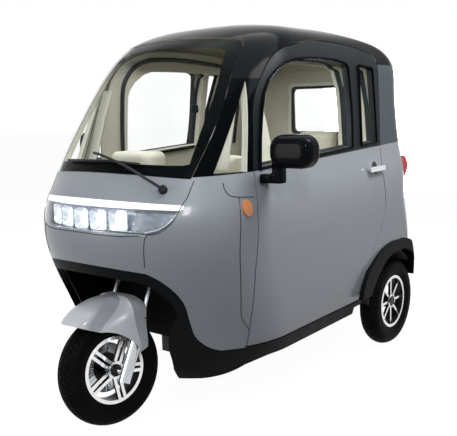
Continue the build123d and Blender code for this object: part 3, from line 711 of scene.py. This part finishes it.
# %% Boots
LEG = 0.118
BOOT_HEIGHT = 0.152
boot_section = [(0.0, 0.0255)]
for rib in range(6):
    start = 0.004 + rib * 0.013
    shrink = rib * 0.0009
    boot_section += [(start, 0.0265 - shrink), (start + 0.006, 0.0225 - shrink), (start + 0.009, 0.0225 - shrink)]
boot_section += [(0.084, 0.0195), (0.084, 0.0135), (0.0, 0.0135)]
for word, side in SIDES:
    base = front_hub + steer_side * (side * LEG) + steer_up * BOOT_HEIGHT
    stand = frame_of(base, steer_up, steer_side)
    boot = moved(turned(boot_section, 28), stand)
    settle(boot, "fork_boot_" + word, "steering", "rubber", smooth=25)

# %% [markdown]
# ## Cushions
# The solids of the seats are plain blocks. Each cushion is a copy of its block, remeshed evenly
# and blown up a little as cloth, which rounds its faces and draws the sides in between the
# corners the way a stuffed cover does. How far a point may travel is capped.

# %% Stuff the cushions
CUSHIONS = [
    ("driver_seat_cushion", 0.014, 0.022, 0.0075),
    ("driver_seat_back", 0.010, 0.016, 0.0075),
    ("driver_headrest", 0.006, 0.010, 0.0050),
    ("rear_bench_cushion", 0.012, 0.018, 0.0085),
    ("rear_bench_back", 0.009, 0.014, 0.0085),
    ("rear_headrest", 0.006, 0.010, 0.0050),
]
CLOTH_FRAMES = 20
BULGE = 0.004
SEAM_DEPTH = 0.005


def stuffed(name, shrink, cap, voxel):
    pad = copy_of(name)
    low, high = (Vector(corner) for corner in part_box(name))
    middle = (low + high) / 2
    half = (high - low) / 2
    squeeze = Matrix.Diagonal([1 - shrink / value for value in half] + [1])
    pad.data.transform(Matrix.Translation(middle) @ squeeze @ Matrix.Translation(-middle))
    modify(pad, "REMESH", mode="VOXEL", voxel_size=voxel)
    apply_all(pad)
    cloth = modify(pad, "CLOTH")
    cloth.settings.use_pressure = True
    cloth.settings.uniform_pressure_force = 4.0
    cloth.settings.effector_weights.gravity = 0.0
    cloth.settings.quality = 4
    cloth.point_cache.frame_end = CLOTH_FRAMES
    for step in range(1, CLOTH_FRAMES + 1):
        bpy.context.scene.frame_set(step)
    blown = pad.evaluated_get(bpy.context.evaluated_depsgraph_get()).data
    for vertex, other in zip(pad.data.vertices, blown.vertices):
        travel = other.co - vertex.co
        vertex.co += travel * min(1.0, cap / max(travel.length, 1e-9))
    pad.modifiers.remove(cloth)
    bpy.context.scene.frame_set(1)
    for vertex in pad.data.vertices:
        vertex.co = [min(max(value, low[i] - BULGE), high[i] + BULGE) for i, value in enumerate(vertex.co)]
    modify(pad, "SMOOTH", iterations=4)
    apply_all(pad)
    return pad


def press_seams(pad, axis, places, depth, width=0.009):
    """Draws sewn channels into a cushion, across one axis."""
    low = Vector([min(vertex.co[i] for vertex in pad.data.vertices) for i in range(3)])
    high = Vector([max(vertex.co[i] for vertex in pad.data.vertices) for i in range(3)])
    normals = [vertex.normal.copy() for vertex in pad.data.vertices]
    for vertex, normal in zip(pad.data.vertices, normals):
        for share in places:
            away = vertex.co[axis] - (low[axis] + share * (high[axis] - low[axis]))
            vertex.co -= normal * depth * math.exp(-(away / width) ** 2)


SEAMS = {
    "driver_seat_cushion": [(0, (0.22, 0.78)), (1, (0.35, 0.65))],
    "driver_seat_back": [(0, (0.22, 0.78)), (2, (0.4, 0.65, 0.88))],
    "rear_bench_cushion": [(0, (0.18, 0.5, 0.82))],
    "rear_bench_back": [(0, (0.18, 0.5, 0.82)), (2, (0.78,))],
}
for name, shrink, cap, voxel in CUSHIONS:
    pad = stuffed(name, shrink, cap, voxel)
    for axis, places in SEAMS.get(name, []):
        press_seams(pad, axis, places, SEAM_DEPTH)
    modify(pad, "SUBSURF", levels=1, render_levels=1)
    apply_all(pad)
    settle(pad, name + "_cover", "cabin", "seat", smooth=0)
    only(pad)
    bpy.ops.object.shade_smooth()
    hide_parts(name)


# %% Points on an arc
def arc(start, through, end, count):
    """Points from start to end on the circle through three points, in a plane; start is left out."""
    ax, az = start
    bx, bz = through
    cx, cz = end
    twice = 2 * (ax * (bz - cz) + bx * (cz - az) + cx * (az - bz))
    a2, b2, c2 = ax * ax + az * az, bx * bx + bz * bz, cx * cx + cz * cz
    x0 = (a2 * (bz - cz) + b2 * (cz - az) + c2 * (az - bz)) / twice
    z0 = (a2 * (cx - bx) + b2 * (ax - cx) + c2 * (bx - ax)) / twice
    first = math.atan2(az - z0, ax - x0)
    turn = math.atan2(cz - z0, cx - x0) - first
    turn -= 2 * math.pi * round(turn / (2 * math.pi))
    radius = math.hypot(ax - x0, az - z0)
    return [(x0 + radius * math.cos(first + turn * step / count), z0 + radius * math.sin(first + turn * step / count))
            for step in range(1, count + 1)]


# %% [markdown]
# ## Trim inside the door openings
# Inside, each door opening is edged by a cream moulding that runs up the windscreen pillar, under
# the roof and down behind the small window, with a thick dark rubber seal pressed on it. The
# moulding is a narrow grid whose two long edges follow two outlines; the seal is a rod.

# %% Door opening mouldings and seals
MOULDING_INNER = [(-0.186, 0.44), (-0.186, 1.03), (-0.196, 1.142), (-0.206, 1.236), (-0.21, 1.3),
                  (-0.2, 1.328), (-0.174, 1.361), (-0.122, 1.396), (-0.07, 1.411), (0.071, 1.412),
                  (0.222, 1.41), (0.4, 1.408), (0.54, 1.402), (0.592, 1.38), (0.604, 1.3), (0.606, 1.15),
                  (0.606, 1.034), (0.606, 0.48)]
MOULDING_OUTER = [(-0.352, 0.44), (-0.352, 1.01), (-0.356, 1.11), (-0.352, 1.22), (-0.338, 1.31),
                  (-0.32, 1.368), (-0.275, 1.425), (-0.2, 1.47), (-0.11, 1.5), (0.05, 1.508), (0.222, 1.506),
                  (0.4, 1.496), (0.58, 1.472), (0.65, 1.43), (0.676, 1.31), (0.68, 1.15), (0.68, 1.03),
                  (0.68, 0.48)]
SEAL_PATH = [(-0.222, 1.03), (-0.235, 1.144), (-0.246, 1.237), (-0.252, 1.305), (-0.25, 1.345),
             (-0.235, 1.381), (-0.196, 1.425), (-0.13, 1.455), (-0.01, 1.468), (0.134, 1.468), (0.29, 1.46),
             (0.458, 1.446), (0.57, 1.43), (0.622, 1.39), (0.636, 1.3), (0.638, 1.15), (0.638, 1.034)]
OPENING_SEAL_RADIUS = 0.0105


def wall_x(height):
    """How far out the inner wall of the cabin stands at a height."""
    return 0.428 - 0.19 * max(height - 1.05, 0.0)


def ribbon(inner, outer, place_of, thickness):
    """A flat band between two rows of points, given a thickness."""
    band = started(bpy.ops.mesh.primitive_grid_add, x_subdivisions=len(inner) - 1, y_subdivisions=1, size=1.0)
    for index, vertex in enumerate(band.data.vertices):
        row = inner if index < len(inner) else outer
        vertex.co = place_of(row[index % len(inner)])
    modify(band, "SOLIDIFY", thickness=thickness, offset=0.0)
    modify(band, "BEVEL", width=thickness * 0.3, segments=2, limit_method="ANGLE")
    apply_all(band)
    clean(band)
    return band


for word, side in SIDES:
    band = ribbon(MOULDING_INNER, MOULDING_OUTER, lambda spot: (side * (wall_x(spot[1]) - 0.008), *spot), 0.01)
    settle(band, "opening_moulding_" + word, "cabin", "trim")
    strip = rod([(side * (wall_x(z) - 0.016), y, z) for y, z in SEAL_PATH], OPENING_SEAL_RADIUS)
    settle(strip, "opening_seal_" + word, "cabin", "roof_paint", seal)

# %% [markdown]
# ## Rubbers, lips and seals of the windows
# Each door window is lined with a dark rubber and a cream lip, and ringed outside by a thin black
# seal. The bands are ribbons again, held against the frame's own inner face by a search tree. A
# belt seal runs under the windows, and a cream post stands behind the triangle glass.

# %% Outlines of the door windows
WINDOW = [(-0.387, 1.012), (-0.355, 1.118), (-0.322, 1.224), (-0.292, 1.285), (-0.25, 1.337),
          (-0.202, 1.373), (-0.147, 1.4), (-0.07, 1.418), (0.01, 1.424), (0.1, 1.427), (0.181, 1.426),
          (0.26, 1.424), (0.33, 1.412), (0.347, 1.402), (0.35, 1.385), (0.35, 1.3), (0.35, 1.209),
          (0.344, 1.13), (0.336, 1.046)]
SMALL = [(0.43, 1.048), (0.446, 1.222), (0.462, 1.396), (0.465, 1.405), (0.474, 1.408), (0.525, 1.403),
         (0.576, 1.398), (0.585, 1.395), (0.588, 1.386), (0.582, 1.22), (0.576, 1.053)]


def drawn_in(points, amount):
    """The outline with each point moved towards the inside by amount."""
    count = len(points)
    result = []
    for index, (y, z) in enumerate(points):
        before = points[index - 1]
        after = points[(index + 1) % count]
        along = Vector((after[0] - before[0], after[1] - before[1])).normalized()
        result.append((y + along.y * amount, z - along.x * amount))
    return result


print(len(WINDOW), "and", len(SMALL), "points on the outlines")

# %% Bands and seals on both doors
# A lighter copy of the cream trim, for the quarter posts, the rear window surround and the rear edges of the quarter
# glass: painted light for the light that falls on them
lit_cream_trim = finish("bright cream trim", tone(226, 225, 212), 0.5, drift=(6.0, 0.02), grain=(420.0, 0.15),
                     crease=0.6)
QUARTER = [(-0.35, 1.322), (-0.388, 1.2), (-0.42, 1.098), (-0.449, 1.003)]
SEAL_RADIUS = 0.0055
BELT_RADIUS = 0.017


def sleeve(points, near, far, tree, side, thickness=0.004):
    """A band standing on a wall; near and far give each edge's depth inward and its inset."""
    low = [(*spot, near[0]) for spot in drawn_in(points, near[1])]
    high = [(*spot, far[0]) for spot in drawn_in(points, far[1])]

    def place(spot):
        face = nearest(tree, (side * 0.25, spot[0], spot[1]))[0]
        return Vector((face.x - side * spot[2], spot[0], spot[1]))

    return ribbon(low + low[:1], high + high[:1], place, thickness)


window_rubber = finish("window rubber", tone(34, 40, 44), 0.5, drift=(14.0, 0.12), grain=(700.0, 0.2),
                       shine=0.1)
for word, side in SIDES:
    frame_tree = surface("door_" + word + "_frame")
    for name, shape in (("window", WINDOW), ("small_window", SMALL)):
        dark = sleeve(shape, (-0.004, 0.002), (0.02, 0.004), frame_tree, side)
        settle(dark, name + "_rubber_" + word, "door_" + word, "roof_paint", window_rubber)
        pale = sleeve(shape, (0.02, 0.003), (0.042, -0.004), frame_tree, side)
        settle(pale, name + "_lip_" + word, "door_" + word, "trim")
        ring = []
        for y, z in drawn_in(shape, -0.006):
            face = nearest(frame_tree, (side * 0.75, y, z))[0]
            ring.append(Vector((face.x + side * 0.0005, y, z)))
        line = rod(ring + ring[:1], SEAL_RADIUS, smooth=False)
        settle(line, name + "_seal_" + word, "door_" + word, "roof_paint", shade_darkened_black)
    belt = [(-0.372, 1.004), (-0.2, 1.013), (0.0, 1.022), (0.2, 1.031), (0.33, 1.037)]
    laid = [Vector((nearest(frame_tree, (side * 0.25, *spot))[0].x - side * 0.016, *spot)) for spot in belt]
    settle(rod(laid, BELT_RADIUS, smooth=False), "belt_seal_" + word, "door_" + word, "roof_paint", window_rubber)
    pillar_tree = surface("pillar_" + word)

    def post_place(spot):
        face = nearest(pillar_tree, (side * 0.3, spot[0], spot[1]))[0]
        return Vector((face.x + side * (0.006 - spot[2]), spot[0] - 0.006, spot[1]))

    post = ribbon([(*spot, 0.0) for spot in QUARTER], [(*spot, 0.052) for spot in QUARTER], post_place, 0.005)
    # The post is in the lighter cream: painted light
    settle(post, "quarter_post_" + word, "cabin", "trim", lit_cream_trim)

# %% Window latch on the right door
latch = started(bpy.ops.mesh.primitive_cube_add, size=1.0)
face = nearest(surface("door_right_frame"), (-0.25, 0.352, 1.230))[0]
latch.data.transform(Matrix.Translation((face.x + 0.022, 0.331, 1.23)) @ Matrix.Diagonal((0.018, 0.05, 0.04, 1)))
modify(latch, "BEVEL", width=0.005, segments=3)
apply_all(latch)
clean(latch)
settle(latch, "window_latch", "door_right", "roof_paint", window_rubber)

# %% Seal and surround of the rear window
REAR_MIDDLE = 1.204
REAR_SEAL_RADIUS = 0.0085
REAR_PATH = arc((0.205, 1.1), (0.198, 1.083), (0.18, 1.076), 3)
REAR_PATH += arc((-0.18, 1.076), (-0.198, 1.083), (-0.205, 1.1), 4)
REAR_PATH += arc((-0.205, 1.31), (-0.198, 1.325), (-0.18, 1.332), 4)
REAR_PATH += arc((0.18, 1.332), (0.198, 1.325), (0.205, 1.31), 4)
REAR_PATH = [(x * 1.035, z) for x, z in REAR_PATH]
ring = rod([(x, 0.944, z) for x, z in REAR_PATH + REAR_PATH[:1]], REAR_SEAL_RADIUS, smooth=False)
settle(ring, "rear_window_seal", "cabin", "roof_paint", seal)
wide_path = [(x * 1.13, REAR_MIDDLE + (z - REAR_MIDDLE) * 1.2) for x, z in REAR_PATH]
near_path = [(x * 1.03, REAR_MIDDLE + (z - REAR_MIDDLE) * 1.05) for x, z in REAR_PATH]
band = ribbon(near_path + near_path[:1], wide_path + wide_path[:1], lambda spot: (spot[0], 0.94, spot[1]), 0.008)
# The surround is in the lighter cream: painted light
settle(band, "rear_window_surround", "cabin", "trim", lit_cream_trim)

# %% The rear edge of each quarter glass is cream
# These faces take the lighter cream: painted light
for name in pairs("pillar_{}", "side_glass_{}"):
    count = also(name, lit_cream_trim, lambda centre, normal: abs(normal.y) > 0.5 and -0.47 < centre.y < -0.33
                 and 1.0 < centre.z < 1.35 and abs(normal.dot(outward(centre))) < 0.5)
    print(name, count, "cream reveal faces")

# %% [markdown]
# ## Windscreen border
# The screen is printed black round its edge, wide at the bottom where the wiper rests. The print
# is a thin ring that follows the inside of the glass: two outlines are bridged, subdivided,
# projected onto the glass, and given a thickness.

# %% Outlines of the clear part and of the glass
CLEAR_HALF = [(0.0, 1.053), (0.07, 1.05), (0.135, 1.046), (0.2, 1.042), (0.267, 1.039), (0.305, 1.037),
              (0.34, 1.036), (0.356, 1.04), (0.3545, 1.1), (0.351, 1.146), (0.348, 1.21), (0.343, 1.279),
              (0.335, 1.33), (0.322, 1.379), (0.31, 1.42), (0.3, 1.456), (0.28, 1.47), (0.24, 1.476),
              (0.16, 1.481), (0.08, 1.484), (0.0, 1.485)]
EDGE_HALF = [(0.0, 1.009)] + arc((0.0, 1.009), (0.205, 1.002), (0.3725, 0.9865), 6)
EDGE_HALF += arc((0.3725, 0.9865), (0.3828, 1.215), (0.344, 1.44), 8)
EDGE_HALF += arc((0.344, 1.44), (0.3365, 1.486), (0.296, 1.5065), 3)
EDGE_HALF += arc((0.296, 1.5065), (0.15, 1.518), (0.0, 1.5225), 3)
print(len(CLEAR_HALF), "and", len(EDGE_HALF), "points on half an outline")


def both_sides(half, depth):
    right = [(-x, depth, z) for x, z in reversed(half[1:-1])]
    return [(x, depth, z) for x, z in half] + right


# %% Make the border
inner_edge = outline(both_sides(CLEAR_HALF, -1.0))
outer_edge = outline(both_sides(EDGE_HALF, -1.0))
only(inner_edge)
outer_edge.select_set(True)
bpy.ops.object.join()
border = inner_edge
enter(border)
bpy.ops.mesh.select_all(action="SELECT")
bpy.ops.mesh.bridge_edge_loops(number_cuts=5, interpolation="LINEAR", smoothness=0.0)
bpy.ops.mesh.select_all(action="SELECT")
bpy.ops.mesh.subdivide(number_cuts=2)
leave()
glass_tree = surface("windscreen")
GLASS_BACK = 0.0056


def behind_glass(x, z, gap):
    """The point a little behind the inner face of the screen, straight back from (x, z)."""
    start = Vector((x, -1.2, z))
    spot, normal = glass_tree.ray_cast(start, BACKWARD)[:2]
    if spot is None:
        spot, normal = nearest(glass_tree, (x, -0.6 + (z - 1) * 0.75, z))
    return spot - normal * gap


for vertex in border.data.vertices:
    vertex.co = behind_glass(vertex.co.x, vertex.co.z, GLASS_BACK)
clean(border)
modify(border, "SOLIDIFY", thickness=0.0008, offset=0.0)
apply_all(border)
screen_print = finish("black screen print", tone(5, 7, 9), 0.3, shine=0.02, drift=(30.0, 0.1),
                      grain=(900.0, 0.02))
settle(border, "screen_border", "cabin", "roof_paint", screen_print)

# %% [markdown]
# ## Wiper
# One wiper rests along the foot of the screen. Its arm and blade are rods, and the pivot is a
# small turned cap.

# %% Wiper
black_satin = finish("black satin metal", tone(16, 17, 19), 0.35, shine=0.2, drift=(20.0, 0.1),
                     grain=(600.0, 0.1))
outside_tree = surface("windscreen", "bonnet", "front_side_left", "front_side_right")


def above(point, height):
    spot, normal = nearest(outside_tree, point)
    return spot + normal * height


ARM = [(0.303, -0.712, 0.952), (0.252, -0.724, 0.98), (0.161, -0.733, 1.021), (0.022, -0.727, 1.061),
       (-0.03, -0.72, 1.07)]
BLADE = [(-0.207, -0.707, 1.041), (-0.13, -0.725, 1.044), (-0.055, -0.735, 1.046), (0.057, -0.734, 1.047),
         (0.13, -0.727, 1.043), (0.194, -0.713, 1.038)]
ARM_RADIUS = 0.0052
BLADE_RADIUS = 0.005
arm = rod([above(point, height) for point, height in zip(ARM, (0.012, 0.016, 0.02, 0.021, 0.017))], ARM_RADIUS)
settle(arm, "wiper_arm", "cabin", "roof_paint", black_satin)
blade = rod([above(point, 0.0085) for point in BLADE], BLADE_RADIUS)
settle(blade, "wiper_blade", "cabin", "roof_paint", black_satin)
pivot = turned([(0.0, 0.0), (0.0, 0.017), (0.012, 0.016), (0.018, 0.012), (0.02, 0.0)], 24)
pivot_spot, pivot_normal = nearest(outside_tree, ARM[0])
side_way = pivot_normal.cross(UP).normalized()
settle(moved(pivot, frame_of(pivot_spot, pivot_normal, side_way)), "wiper_pivot", "cabin", "roof_paint", black_satin)

# %% [markdown]
# ## Headlamp optics
# Behind the clear cover sit five bowls side by side, each with a bright lens in its middle. Each
# is turned from its section, pushed out into a rounded square, and stood on the housing so that
# it faces the way the housing faces there.

# %% Headlamp bowls and lenses
bowl_section = [(0.03, 0.044), (0.0285, 0.042), (0.02, 0.036), (0.01, 0.024), (0.005, 0.01), (0.004, 0.0),
                (0.002, 0.0), (0.003, 0.011), (0.008, 0.026), (0.018, 0.038), (0.028, 0.045)]
lens_section = [(0.004, 0.0), (0.004, 0.017), (0.012, 0.0175), (0.017, 0.015), (0.021, 0.009), (0.0225, 0.0)]
MODULES = (0.0, 0.08, -0.08, 0.16, -0.16)
bright_lens = finish("bright lamp lens", tone(247, 250, 253), 0.12, coat=1.0, drift=(60.0, 0.05),
                     grain=(120.0, 0.3), crease=1.0)
glowing(bright_lens, (0.92, 0.96, 1.0), 0.6)
reflector = finish("lamp reflector", tone(222, 228, 235), 0.16, metal=0.9, drift=(50.0, 0.25),
                   grain=(90.0, 0.5), crease=1.0)
glowing(reflector, (0.9, 0.95, 1.0), 0.12)
housing_tree = surface("headlamp_housing")
SQUARENESS = 8
SMOKED_FROM = 0.204


def squared(piece):
    """Pushes a turned piece out towards its corners, so that it becomes a rounded square."""
    for vertex in piece.data.vertices:
        reach = math.hypot(vertex.co.y, vertex.co.z)
        if reach > 1e-5:
            grow = ((abs(vertex.co.y) / reach) ** SQUARENESS + (abs(vertex.co.z) / reach) ** SQUARENESS) ** (
                -1 / SQUARENESS)
            vertex.co.y *= grow
            vertex.co.z *= grow
    return piece


LAMP_HEIGHT = 0.845
WIDE = 0.86
bowls = []
lenses = []
for x in MODULES:
    spot, normal = housing_tree.ray_cast(Vector((x, -1.2, LAMP_HEIGHT)), BACKWARD)[:2]
    facing = Vector((normal.x, normal.y, 0)).normalized()
    stand = frame_of(spot, facing, UP)
    stretch = Matrix.Diagonal((1, WIDE, 0.88, 1))
    bowls.append(moved(squared(turned(bowl_section, 32)), stand @ stretch))
    lenses.append(moved(squared(turned(lens_section, 24)), stand @ Matrix.Diagonal((1, WIDE * 1.4, 1.1, 1))))
settle(joined(bowls), "lamp_bowls", "cabin", "lamp_body", reflector)
settle(joined(lenses), "lamp_lenses", "cabin", "light_bar", bright_lens)

# %% Smoked outer ends of the lamp
smoked = finish("smoked lamp end", tone(122, 128, 136), 0.2, metal=0.5, coat=1.0, drift=(60.0, 0.3),
                grain=(160.0, 0.4), crease=1.0)
print("smoked faces", also("headlamp_housing", smoked, lambda centre, normal: abs(centre.x) > SMOKED_FROM))

# %% [markdown]
# ## Panel seams
# A few joints of the silver panels are too narrow for the solids: the strip behind the lamp, the
# flap below the windscreen pillar, the edge of the nose and the line under the lamp. Each is a thin
# dark rod laid on the panel, sunk by half its thickness, with a twin on the other side.

# %% Seams on both sides
SEAM_RADIUS = 0.0017
RIM_RADIUS = 0.0022
CABIN = ("cabin", "cabin")
dark_gap = finish("shut line", tone(24, 25, 28), 0.8, drift=(20.0, 0.1), grain=(0.0, 0.0))
panel_tree = surface("front_side_left", "bonnet", "front_bumper", "headlamp_cover")
SEAM_LINES = {
    "strip_seam": [(0.492, -0.512, 0.914), (0.5, -0.523, 0.82), (0.506, -0.532, 0.722), (0.497, -0.52, 0.62),
                   (0.484, -0.504, 0.524), (0.473, -0.486, 0.448), (0.476, -0.454, 0.401), (0.489, -0.425, 0.39)],
    "flap_seam": [(0.452, -0.553, 0.968), (0.459, -0.555, 0.947), (0.473, -0.546, 0.924), (0.488, -0.52, 0.915),
                  (0.503, -0.48, 0.911), (0.513, -0.448, 0.908)],
    "nose_seam": [(0.383, -0.633, 0.98), (0.381, -0.649, 0.956), (0.379, -0.67, 0.923), (0.373, -0.693, 0.892),
                  (0.366, -0.711, 0.867), (0.354, -0.732, 0.839), (0.336, -0.75, 0.819), (0.314, -0.769, 0.805),
                  (0.292, -0.785, 0.798), (0.281, -0.792, 0.786), (0.278, -0.795, 0.767), (0.275, -0.795, 0.745),
                  (0.273, -0.793, 0.715), (0.267, -0.787, 0.676)],
    "lamp_seam": [(0.0, -0.867, 0.797), (0.06, -0.863, 0.796), (0.117, -0.855, 0.794), (0.196, -0.832, 0.792),
                  (0.265, -0.8, 0.795)],
}
for name, points in SEAM_LINES.items():
    laid = []
    for point in points:
        spot, normal = nearest(panel_tree, point)
        laid.append(spot + normal * 0.0001)
    settle_pair(rod(laid, SEAM_RADIUS, sides=2), name, CABIN, "cladding", dark_gap)

# %% Bright line along the lower edge of each lamp end
LAMP_RIM = [(0.366, -0.703, 0.876), (0.357, -0.722, 0.854), (0.343, -0.739, 0.835), (0.325, -0.755, 0.82),
            (0.302, -0.772, 0.811), (0.276, -0.79, 0.806)]
cover_tree = surface("headlamp_cover")
laid = [nearest(cover_tree, point)[0] for point in LAMP_RIM]
settle_pair(rod(laid, RIM_RADIUS, sides=3), "lamp_rim", CABIN, "chrome")

# %% [markdown]
# ## Shade in the door handle recesses
# Behind the bar of each handle the door has a recess for the fingers, which shows black. No hollow
# is made: a thin round black disc laid on the door is painted shade for it. The disc starts as a
# filled circle that is inset four times and laid on the door.

# %% Painted shade discs behind the handles
door_tree = surface("door_left_panel")
SHADE_DISC_CENTRE = Vector((0.6, 0.524, 0.933))
shade_disc = started(bpy.ops.mesh.primitive_circle_add, vertices=40, radius=1.0, fill_type="NGON", location=(0, 0, 0))
upright = Matrix.Rotation(math.radians(90), 4, "Y")
shade_disc.data.transform(Matrix.Translation(SHADE_DISC_CENTRE) @ upright @ Matrix.Diagonal((0.03, 0.0255, 1, 1)))
pick_faces(shade_disc, lambda centre, normal: True)
for depth in (0.002, 0.004, 0.006, 0.006):
    bpy.ops.mesh.inset(thickness=depth)
leave()
for vertex in shade_disc.data.vertices:
    spot = door_tree.ray_cast(vertex.co, Vector((-1, 0, 0)))[0]
    vertex.co = spot + Vector((0.0009, 0, 0))
modify(shade_disc, "SOLIDIFY", thickness=0.0012, offset=-1.0)
apply_all(shade_disc)
settle_pair(shade_disc, "handle_recess_shade", ("door_left", "door_right"), "cladding", black_satin)

# %% [markdown]
# ## Mirrors
# The mirror shells are softer than their solids. A copy of each is remeshed evenly and smoothed,
# which rounds every edge, and a silvered glass is let into the side that faces back.

# %% Soft mirror shells with their glass
mirror_glass = finish("silvered glass", tone(214, 219, 222), 0.04, metal=1.0, drift=(10.0, 0.02),
                      grain=(0.0, 0.0))
glass_section = [(0.0, 0.0), (0.0, 0.044), (0.002, 0.045), (0.004, 0.044), (0.004, 0.0)]
GLASS_SPOTS = {
    "left": (Vector((0.655, -0.3605, 1.075)), Vector((0, 1, 0))),
    "right": (Vector((-0.6156, -0.2012, 1.075)), Vector((0.7431, 0.6691, 0))),
}
for word, (spot, facing) in GLASS_SPOTS.items():
    name = "mirror_" + word
    shell = copy_of(name)
    modify(shell, "REMESH", mode="VOXEL", voxel_size=0.0035)
    modify(shell, "SMOOTH", iterations=14)
    apply_all(shell)
    settle(shell, name + "_shell", "door_" + word, "roof_paint", smooth=60)
    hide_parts(name)
    pane = squared(turned(glass_section, 40))
    stand = frame_of(spot, facing, UP) @ Matrix.Diagonal((1, 1.55, 0.95, 1))
    settle(moved(pane, stand), name + "_glass", "door_" + word, "chrome", mirror_glass)

# %% [markdown]
# ## Floor, light and camera
# The car stands on a plain white floor in an even white room. Large soft lamps above, ahead and
# behind fill the shell, and smaller ones beside it and low in front give it its gradient. One more
# lights the cabin. Camera, gloss and glass rays see the room as plain white, while the floor still
# takes the shadow.

# %% Floor and room
floor_plane = started(bpy.ops.mesh.primitive_plane_add, size=60, location=(0, 0, 0))
floor_plane.name = "studio_floor"
WHITE = (1, 1, 1, 1)
FLOOR_GREY = (0.14, 0.14, 0.14, 1)
FLOOR_LIFT = 0.965


def seen_by(tree):
    """1 for the rays that show the room, and 0 for the light that it gives."""
    rays = node(tree, "LightPath").outputs
    seen = maths(tree, "ADD", rays["Is Camera Ray"], rays["Is Glossy Ray"], clamp=True)
    return maths(tree, "ADD", seen, rays["Is Transmission Ray"], clamp=True)


white_floor, tree, shader, spot = blank("white floor")
paper = placed(tree, uneven_tone, Vector=spot, Color=FLOOR_GREY, Scale=1.5, Amount=0.004)
feed(tree, shader, Base_Color=paper.outputs["Color"], Roughness=1.0, Specular_IOR_Level=0.0,
     Emission_Color=WHITE, Emission_Strength=maths(tree, "MULTIPLY", seen_by(tree), FLOOR_LIFT))
floor_plane.data.materials.append(white_floor)

WORLD_LIGHT = 0.07
world = bpy.data.worlds.new("white room")
bpy.context.scene.world = world
world.use_nodes = True
tree = world.node_tree
background = tree.nodes["Background"]
strength = node(tree, "MapRange", Value=seen_by(tree), To_Min=WORLD_LIGHT, To_Max=1.0)
feed(tree, background, Color=WHITE, Strength=strength.outputs["Result"])
print("floor and room ready")

# %% Lamps
LAMPS = [
    ("lamp_above", (0.3, -0.1, 3.4), (0.0, 0.0, 0.9), 3.0, 3.0, 80.0),
    ("lamp_ahead", (-0.4, -3.8, 2.2), (0.0, 0.0, 0.8), 2.2, 2.2, 26.0),
    ("lamp_beside", (2.35, -2.5, 2.35), (0.2, -0.4, 0.9), 0.31, 0.65, 32.0),
    ("lamp_high_side", (1.5, 0.3, 2.5), (0.5, 0.2, 0.95), 1.2, 0.5, 38.0),
    ("lamp_behind", (-0.7, 4.0, 0.95), (0.0, 0.0, 0.8), 2.0, 1.2, 30.0),
    ("lamp_low", (-0.6, -2.6, 1.1), (0.0, -0.75, 0.5), 0.6, 0.6, 10.0),
    ("cabin_lamp", (0.0, 0.15, 1.42), (0.0, 0.15, 0.0), 0.5, 0.9, 3.4),
]
for name, place, target, wide, tall, power in LAMPS:
    data = bpy.data.lights.new(name, "AREA")
    data.shape = "RECTANGLE"
    data.size = wide
    data.size_y = tall
    data.energy = power
    lamp = bpy.data.objects.new(name, data)
    bpy.context.collection.objects.link(lamp)
    lamp.location = place
    lamp.rotation_euler = (Vector(target) - Vector(place)).to_track_quat("-Z", "Y").to_euler()
    inside = name == "cabin_lamp"
    lamp.visible_camera = not inside
    lamp.visible_glossy = not inside
    lamp.visible_transmission = not inside
print(len(LAMPS), "lamps")

# %% Camera
AZIMUTH = math.radians(38.7)
ELEVATION = math.radians(8.8)
ROLL = math.radians(-1.56)
DISTANCE = 3.3
back = Vector((math.sin(AZIMUTH) * math.cos(ELEVATION), -math.cos(AZIMUTH) * math.cos(ELEVATION),
               math.sin(ELEVATION)))
right = (-back).cross(UP).normalized()
up = right.cross(-back)
right_rolled = math.cos(ROLL) * right + math.sin(ROLL) * up
up_rolled = -math.sin(ROLL) * right + math.cos(ROLL) * up
camera_data = bpy.data.cameras.new("camera")
camera_data.sensor_fit = "HORIZONTAL"
camera_data.sensor_width = 36.0
camera_data.lens = 55.69
camera_data.shift_x = 0.0142
camera_data.shift_y = -0.0077
camera = bpy.data.objects.new("camera", camera_data)
bpy.context.collection.objects.link(camera)
camera.matrix_world = Matrix.Translation(Vector((0, 0, 0.742)) + DISTANCE * back) @ Matrix(
    (right_rolled, up_rolled, back)).transposed().to_4x4()
bpy.context.scene.camera = camera
bpy.context.scene.view_settings.view_transform = "Standard"
print("camera at", [round(value, 3) for value in camera.matrix_world.translation])
